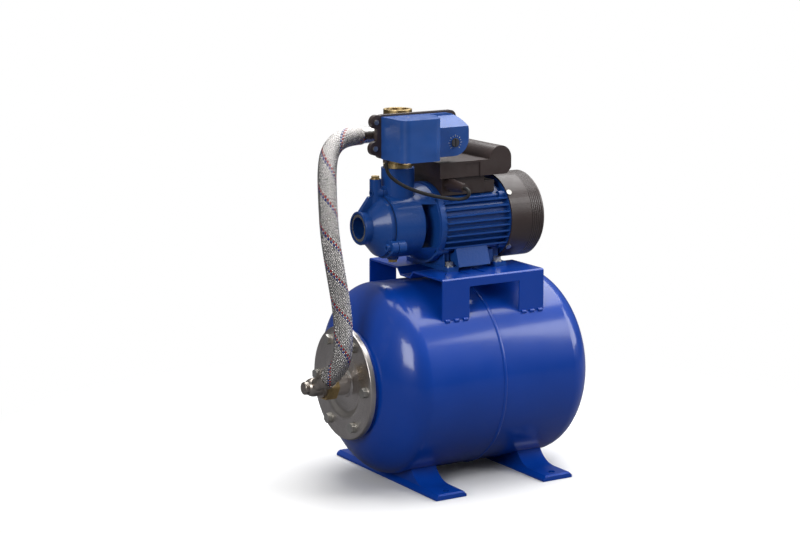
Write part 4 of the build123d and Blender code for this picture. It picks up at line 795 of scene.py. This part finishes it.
def build_floor():
    """A pale floor that runs out into white, and is dimmer to the object than to the camera."""
    s = Shader("floor")
    camera_ray = s.add("ShaderNodeLightPath").outputs["Is Camera Ray"]
    grain = s.mix(s.noise(3.0), rgba((0.92, 0.92, 0.92)), rgba((0.96, 0.96, 0.96)))
    s.set(Base_Color=s.mix(camera_ray, FLOOR_TO_OBJECT, grain))
    s.set(Roughness=0.9, Specular_IOR_Level=0.1)
    place = s.add("ShaderNodeVectorMath", {0: s.coords}, operation="LENGTH").outputs["Value"]
    fade = s.add(
        "ShaderNodeMapRange",
        {"Value": place, "From Min": FLOOR_FADE[0], "From Max": FLOOR_FADE[1]},
        interpolation_type="SMOOTHSTEP",
    ).outputs["Result"]
    glow = s.add("ShaderNodeEmission", {"Color": (1.0, 1.0, 1.0, 1.0), "Strength": 1.0})
    mixed = s.add(
        "ShaderNodeMixShader",
        {
            0: s.math("MULTIPLY", fade, camera_ray),
            1: s.bsdf.outputs[0],
            2: glow.outputs[0],
        },
    )
    s.feed(s.tree.nodes["Material Output"], "Surface", mixed.outputs[0])
    floor = slab("floor", (-8.0, -8.0, -0.012), (8.0, 8.0, -0.0005))
    floor.data.materials.append(s.material)
    bpy.context.scene.collection.objects.link(floor)


def build_world():
    """A world that is white to the camera, and to the object a dim sky, brighter overhead."""
    world = bpy.data.worlds.new("studio")
    bpy.context.scene.world = world
    world.use_nodes = True
    tree = world.node_tree
    background = tree.nodes["Background"]
    path = tree.nodes.new("ShaderNodeLightPath")
    coords = tree.nodes.new("ShaderNodeTexCoord")
    parts = tree.nodes.new("ShaderNodeSeparateXYZ")
    sky = tree.nodes.new("ShaderNodeMapRange")
    sky.inputs["From Min"].default_value = SKY_HEIGHTS[0]
    sky.inputs["From Max"].default_value = SKY_HEIGHTS[1]
    sky.inputs["To Min"].default_value = SKY_STRENGTHS[0]
    sky.inputs["To Max"].default_value = SKY_STRENGTHS[1]
    strength = tree.nodes.new("ShaderNodeMix")
    strength.inputs[3].default_value = 1.0
    tree.links.new(coords.outputs["Generated"], parts.inputs[0])
    tree.links.new(parts.outputs["Z"], sky.inputs["Value"])
    tree.links.new(path.outputs["Is Camera Ray"], strength.inputs[0])
    tree.links.new(sky.outputs["Result"], strength.inputs[2])
    tree.links.new(strength.outputs[0], background.inputs["Strength"])
    background.inputs["Color"].default_value = (1.0, 1.0, 1.0, 1.0)
    bpy.context.scene.view_settings.view_transform = "Standard"


def build_lights():
    """Soft boxes: one large overhead, one to the right and a weak one to the left."""
    for name, place, size, power in LAMPS:
        light = bpy.data.lights.new(name, "AREA")
        light.size = size
        light.energy = power
        lamp = bpy.data.objects.new(name, light)
        lamp.location = place
        aim = LAMP_AIM - Vector(place)
        lamp.rotation_euler = aim.to_track_quat("-Z", "Y").to_euler()
        bpy.context.scene.collection.objects.link(lamp)


def build_camera(studio):
    """The camera, round the point that it looks at."""
    flat = math.cos(studio.elevation)
    away = Vector(
        (
            math.sin(studio.azimuth) * flat,
            -math.cos(studio.azimuth) * flat,
            math.sin(studio.elevation),
        )
    )
    data = bpy.data.cameras.new("camera")
    data.lens = studio.lens
    data.sensor_width = SENSOR_WIDTH
    camera = bpy.data.objects.new("camera", data)
    camera.location = CAMERA_TARGET + away * studio.distance
    camera.rotation_euler = (-away).to_track_quat("-Z", "Y").to_euler()
    bpy.context.scene.collection.objects.link(camera)
    bpy.context.scene.camera = camera


class PUMP_PT_panel(bpy.types.Panel):
    """Lists the pump set's sizes, colours and operators."""

    bl_idname = "PUMP_PT_panel"
    bl_label = "Pump set"
    bl_space_type = "VIEW_3D"
    bl_region_type = "UI"
    bl_category = "Pump set"

    def draw(self, context):
        for group in (
            context.scene.pump_paint,
            context.scene.pump_hose,
            context.scene.pump_studio,
        ):
            column = self.layout.column()
            for name in group.__annotations__:
                column.prop(group, name)
        for operator in OPERATORS:
            self.layout.operator(operator.bl_idname)


OPERATORS = (
    PUMP_OT_finishes,
    PUMP_OT_hose,
    PUMP_OT_lead,
    PUMP_OT_dial,
    PUMP_OT_mouth,
    PUMP_OT_stage,
)
GROUPS = {"pump_paint": PumpPaint, "pump_hose": PumpHose, "pump_studio": PumpStudio}


def register():
    """Registers the classes and puts the settings on the scene."""
    for cls in (*GROUPS.values(), *OPERATORS, PUMP_PT_panel):
        bpy.utils.register_class(cls)
    for name, cls in GROUPS.items():
        setattr(bpy.types.Scene, name, bpy.props.PointerProperty(type=cls))


def unregister():
    """Takes the settings and classes away."""
    for name in GROUPS:
        delattr(bpy.types.Scene, name)
    for cls in (PUMP_PT_panel, *reversed(OPERATORS), *GROUPS.values()):
        bpy.utils.unregister_class(cls)


def main():
    """Builds the looks in order."""
    register()
    for operator in OPERATORS:
        group, name = operator.bl_idname.split(".")
        getattr(getattr(bpy.ops, group), name)()


if __name__ == "__main__":
    main()
